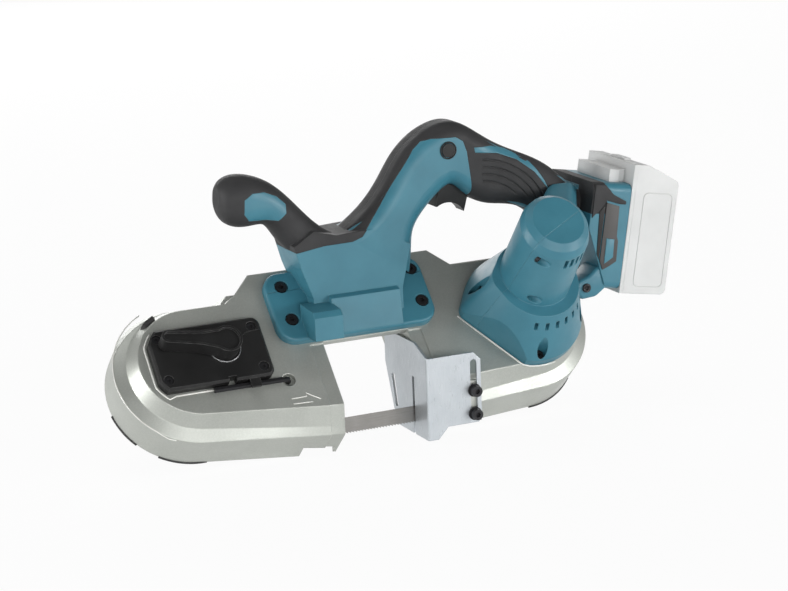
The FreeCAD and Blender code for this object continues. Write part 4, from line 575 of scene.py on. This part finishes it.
def frame_trim():
    """Lip round the cover and travel arrow, both brightened as painted highlights, ring under the lever,
    cover's seam and rest behind the left end.
    """
    lip = [(-146.0, 34.2), (-170.0, 34.2), (-194.0, 34.2)]
    round_end = arc(IDLER, COVER_LIP_ROUND, 224.0, 136.0, COVER_LIP_STEPS)
    lip += [(max(x, COVER_LEFT), up) for x, up in round_end]
    # The lip's bright colour is a painted highlight
    bead("cover_lip", on_plate(lip, PLATE_TOP), COVER_LIP, "cast_frame", HIGHLIGHT_ALLOY)
    strokes = {
        "arrow_tail": [
            (-107.8, 17.1), (-101.0, 17.15), (-95.9, 17.2), (-95.6, 20.2), (-90.4, 16.7), (-85.3, 13.2),
        ],
        "arrow_underline": [(-107.8, 12.6), (-100.0, 12.35), (-92.0, 12.1)],
    }
    for name, stroke in strokes.items():
        # The arrow's bright colour is a painted highlight on its raised lines
        bead(name, on_plate(stroke, PLATE_TOP + ARROW_LIFT), ARROW_STROKE, "cast_frame", HIGHLIGHT_ALLOY)
    hub = on_plate(circle(LEVER, LEVER_RING_ROUND), COVER_TOP + LEVER_RING_LIFT)
    bead("lever_ring", hub, LEVER_RING, "machined_steel", closed=True)
    seam = [(-136.6, 67.4), (-133.4, 71.6), (-129.0, 74.0), (-123.0, 74.8), (-117.6, 74.9)]
    bead("cover_seam", on_plate(seam, COVER_TOP), COVER_SEAM, "black_plastic")
    start, end = REST_TURNS
    rest = arc(IDLER, REST_INNER, start, end, REST_STEPS) + arc(IDLER, REST_OUTER, end, start, REST_STEPS)
    facing = LEAN_TURN.to_3x3() @ UP
    slab("back_rest", on_plate(rest, REST_FOOT), facing, REST_TALL, REST_BREAK, "black_rubber")


def rim_trim():
    """Rubber lips under the round ends, a painted highlight along the left end's edge and a lip round the
    motor flange, brightened as a painted highlight.
    """
    lips = {
        "idler_lip_side": (IDLER, (190.0, 222.0)),
        "idler_lip_front": (IDLER, (236.0, 276.0)),
        "drive_lip_front": (DRIVE, (272.0, 322.0)),
    }
    for name, (middle, turns) in lips.items():
        stops = [(turn, RIM_LOW) for turn in turns]
        bead(name, on_wall(middle, END_RADIUS - RUBBER_LIP_SINK, stops), RUBBER_LIP, "black_rubber")
    # Painted highlight: a bright bead where light catches the left end's shoulder edge
    edge = ((116.0, SHOULDER), (228.0, SHOULDER), (238.0, SHOULDER - 2.5), (248.0, SHOULDER - 0.5))
    bead("idler_edge_highlight", on_wall(IDLER, END_RADIUS, edge), END_HIGHLIGHT, "cast_frame", HIGHLIGHT_ALLOY)
    flange = [
        (46.2, 64.4), (65.5, 39.3), (84.6, 14.4), (90.0, 12.1), (97.0, 11.2), (104.0, 11.3), (112.0, 12.6),
    ]
    # The flange lip's bright colour is a painted highlight
    bead("flange_lip", on_plate(flange, PLATE_TOP + FLANGE_LIFT), FLANGE_LIP, "cast_frame", HIGHLIGHT_ALLOY)


def mount_trim():
    """Dark panel with its bare teal tag, soft cap and lug on the battery mount's front side."""
    side = -PACK_HALF
    panel = [
        (-21.4, 33.0), (-9.7, 30.6), (-8.7, 6.7), (-7.1, 2.8), (-6.5, -13.2), (-12.6, -17.4),
        (-18.0, -20.4), (-21.4, -13.5),
    ]
    tag = [(-18.0, 4.8), (-10.9, 4.3), (-10.2, -10.1), (-17.6, -15.6)]
    strip = [(-26.6, 25.6), (-22.0, 31.0), (-22.0, -12.8), (-24.6, -8.0)]
    cap = [
        (-33.0, 20.0), (-33.0, 46.5), (-24.0, 46.8), (-16.0, 39.6), (-4.0, 34.6), (-4.0, 32.2),
        (-9.2, 32.2), (-22.0, 34.6), (-27.0, 27.0),
    ]
    lug = [
        (-11.0, -22.0), (-11.0, -35.0), (-19.0, -42.5), (-31.0, -45.5), (-38.0, -41.0), (-37.0, -31.0),
        (-28.0, -26.5), (-21.0, -18.0),
    ]
    slab("mount_panel", on_mount(panel, side), FRONT, PANEL_THICK, PANEL_BREAK, "black_plastic", PANEL_GREY)
    slab("mount_tag", on_mount(tag, side - TAG_SEAT), FRONT, TAG_THICK, TAG_BREAK, "teal_shell")
    slab("mount_strip", on_mount(strip, side), FRONT, TAG_THICK, TAG_BREAK, "black_plastic")
    slab("mount_cap", on_mount(cap, side), FRONT, CAP_THICK, CAP_BREAK, "soft_grip")
    slab("mount_lug", on_mount(lug, side + LUG_SINK), -FRONT, LUG_DEEP, LUG_BREAK, "teal_shell")
    seat = on_mount([LUG_SCREW], side + LUG_SINK)[0]
    socket_head("mount_lug_screw", seat, FRONT, LUG_SCREW_RADIUS, LUG_SCREW_HIGH, "black_screws")


def battery_trim():
    """Bare label patch on the battery's sloped end and the raised border on its front side."""
    corners = [(5.0, -30.0), (24.0, -30.0), (24.0, 2.0), (5.0, 2.0)]
    spots = [LABEL_START + LABEL_SLOPE * far + Vector((0.0, y, 0.0)) for far, y in corners]
    patch = [PACK_TURN @ (spot * MM) for spot in spots]
    facing = PACK_TURN.to_3x3() @ Vector((-LABEL_SLOPE.z, 0.0, LABEL_SLOPE.x))
    slab("battery_label", patch, facing, LABEL_THICK, LABEL_BREAK, "pack_shell", LABEL_PAPER, "battery")
    rounds = (((16.0, 38.0), 180.0), ((34.0, 38.0), 90.0), ((34.0, -29.0), 0.0), ((16.0, -29.0), 270.0))
    border = []
    for middle, turn in rounds:
        border += arc(middle, BORDER_ROUND, turn, turn - 90.0, BORDER_STEPS)
    path = on_mount(border, -PACK_HALF)
    bead("battery_border", path, BORDER, "pack_shell", body="battery", closed=True)


def handle_trim():
    """Black ring painted as the shade round the lock-off button on both sides of the handle."""
    for side, y in SHADOW_RING_SIDES.items():
        path = [Vector((x, y, z)) * MM for x, z in circle(BUTTON, SHADOW_RING_ROUND)]
        bead("button_shadow_ring_" + side, path, SHADOW_RING, "black_plastic", closed=True)


def stage():
    """A pale floor under the lowest point that keeps a soft shadow, fading into a white room."""
    bpy.ops.mesh.primitive_circle_add(vertices=FLOOR_SIDES, radius=FLOOR_RADIUS, fill_type="NGON")
    floor = bpy.context.object
    floor.name = "stage_floor"
    floor.location = (0.0, 0.0, cad_box[0].z - FLOOR_GAP)
    finish = Finish("stage_floor_paper")
    tone = finish.mixed(finish.noise(PAPER_GRAIN), FLOOR_TONE, WHITE)
    paper = finish.node("ShaderNodeBsdfDiffuse", {}, {"Color": tone})
    seen = finish.node("ShaderNodeLightPath", output="Is Camera Ray")
    mirrored = finish.node("ShaderNodeLightPath", output="Is Glossy Ray")
    glow = finish.node("ShaderNodeEmission", {}, {"Color": WHITE, "Strength": 1.0})
    pale = seen * FLOOR_SEEN + mirrored * FLOOR_MIRRORED
    lit = finish.node("ShaderNodeMixShader", {}, {0: pale, 1: paper, 2: glow})
    finish.node("ShaderNodeOutputMaterial", {}, {"Surface": lit})
    floor.data.materials.append(finish.material)


def room():
    """White where the camera or glass looks at it, and otherwise light that falls off to a dark ceiling."""
    world = bpy.data.worlds.new("white_room")
    bpy.context.scene.world = world
    world.use_nodes = True
    walls = Shading(world.node_tree)
    seen = walls.node("ShaderNodeLightPath", output="Is Camera Ray")
    through = walls.node("ShaderNodeLightPath", output="Is Transmission Ray")
    shown = walls.node("ShaderNodeMath", {"operation": "MAXIMUM"}, {0: seen, 1: through})
    place = walls.node("ShaderNodeTexCoord", output="Generated")
    height = walls.node("ShaderNodeSeparateXYZ", {}, {0: place}, output="Z")
    levels = {
        "Value": height, "From Min": WALL_LEVEL, "From Max": CEILING_LEVEL,
        "To Min": WALL_LIGHT, "To Max": CEILING_LIGHT,
    }
    fall = walls.node("ShaderNodeMapRange", {"interpolation_type": "SMOOTHSTEP"}, levels)
    dim = walls.node("ShaderNodeBackground", {}, {"Color": WHITE, "Strength": fall})
    bright = walls.node("ShaderNodeBackground", {}, {"Color": WHITE, "Strength": 1.0})
    lit = walls.node("ShaderNodeMixShader", {}, {0: shown, 1: dim, 2: bright})
    walls.node("ShaderNodeOutputWorld", {}, {"Surface": lit})


def softbox(name, place, aim, size, power):
    """Rectangular lamp turned towards the saw."""
    light = bpy.data.lights.new(name, "AREA")
    light.shape = "RECTANGLE"
    light.size, light.size_y = size
    light.energy = power
    lamp = bpy.data.objects.new(name, light)
    lamp.location = place
    lamp.rotation_euler = (Vector(aim) - Vector(place)).to_track_quat("-Z", "Y").to_euler()
    bpy.context.scene.collection.objects.link(lamp)


def camera():
    """Camera at the photograph's viewing angle."""
    forward = Vector((
        math.cos(CAMERA_DROP) * math.sin(CAMERA_TURN),
        math.cos(CAMERA_DROP) * math.cos(CAMERA_TURN),
        -math.sin(CAMERA_DROP),
    ))
    level = Vector((math.cos(CAMERA_TURN), -math.sin(CAMERA_TURN), 0.0))
    above = level.cross(forward)
    right = level * math.cos(CAMERA_ROLL) - above * math.sin(CAMERA_ROLL)
    up = right.cross(forward)
    data = bpy.data.cameras.new("photo_view")
    data.sensor_width = SENSOR_WIDTH
    data.lens = FOCAL_PIXELS / IMAGE_WIDTH * SENSOR_WIDTH
    viewer = bpy.data.objects.new("photo_view", data)
    turn = Matrix((right, up, -forward)).transposed().to_4x4()
    viewer.matrix_world = Matrix.Translation(CAMERA_PLACE) @ turn
    bpy.context.scene.collection.objects.link(viewer)
    bpy.context.scene.camera = viewer


dress_nodes()
frame_trim()
rim_trim()
mount_trim()
battery_trim()
handle_trim()
stage()
room()
for lamp_settings in SOFTBOXES:
    softbox(*lamp_settings)
camera()
bpy.context.scene.view_settings.view_transform = "Standard"
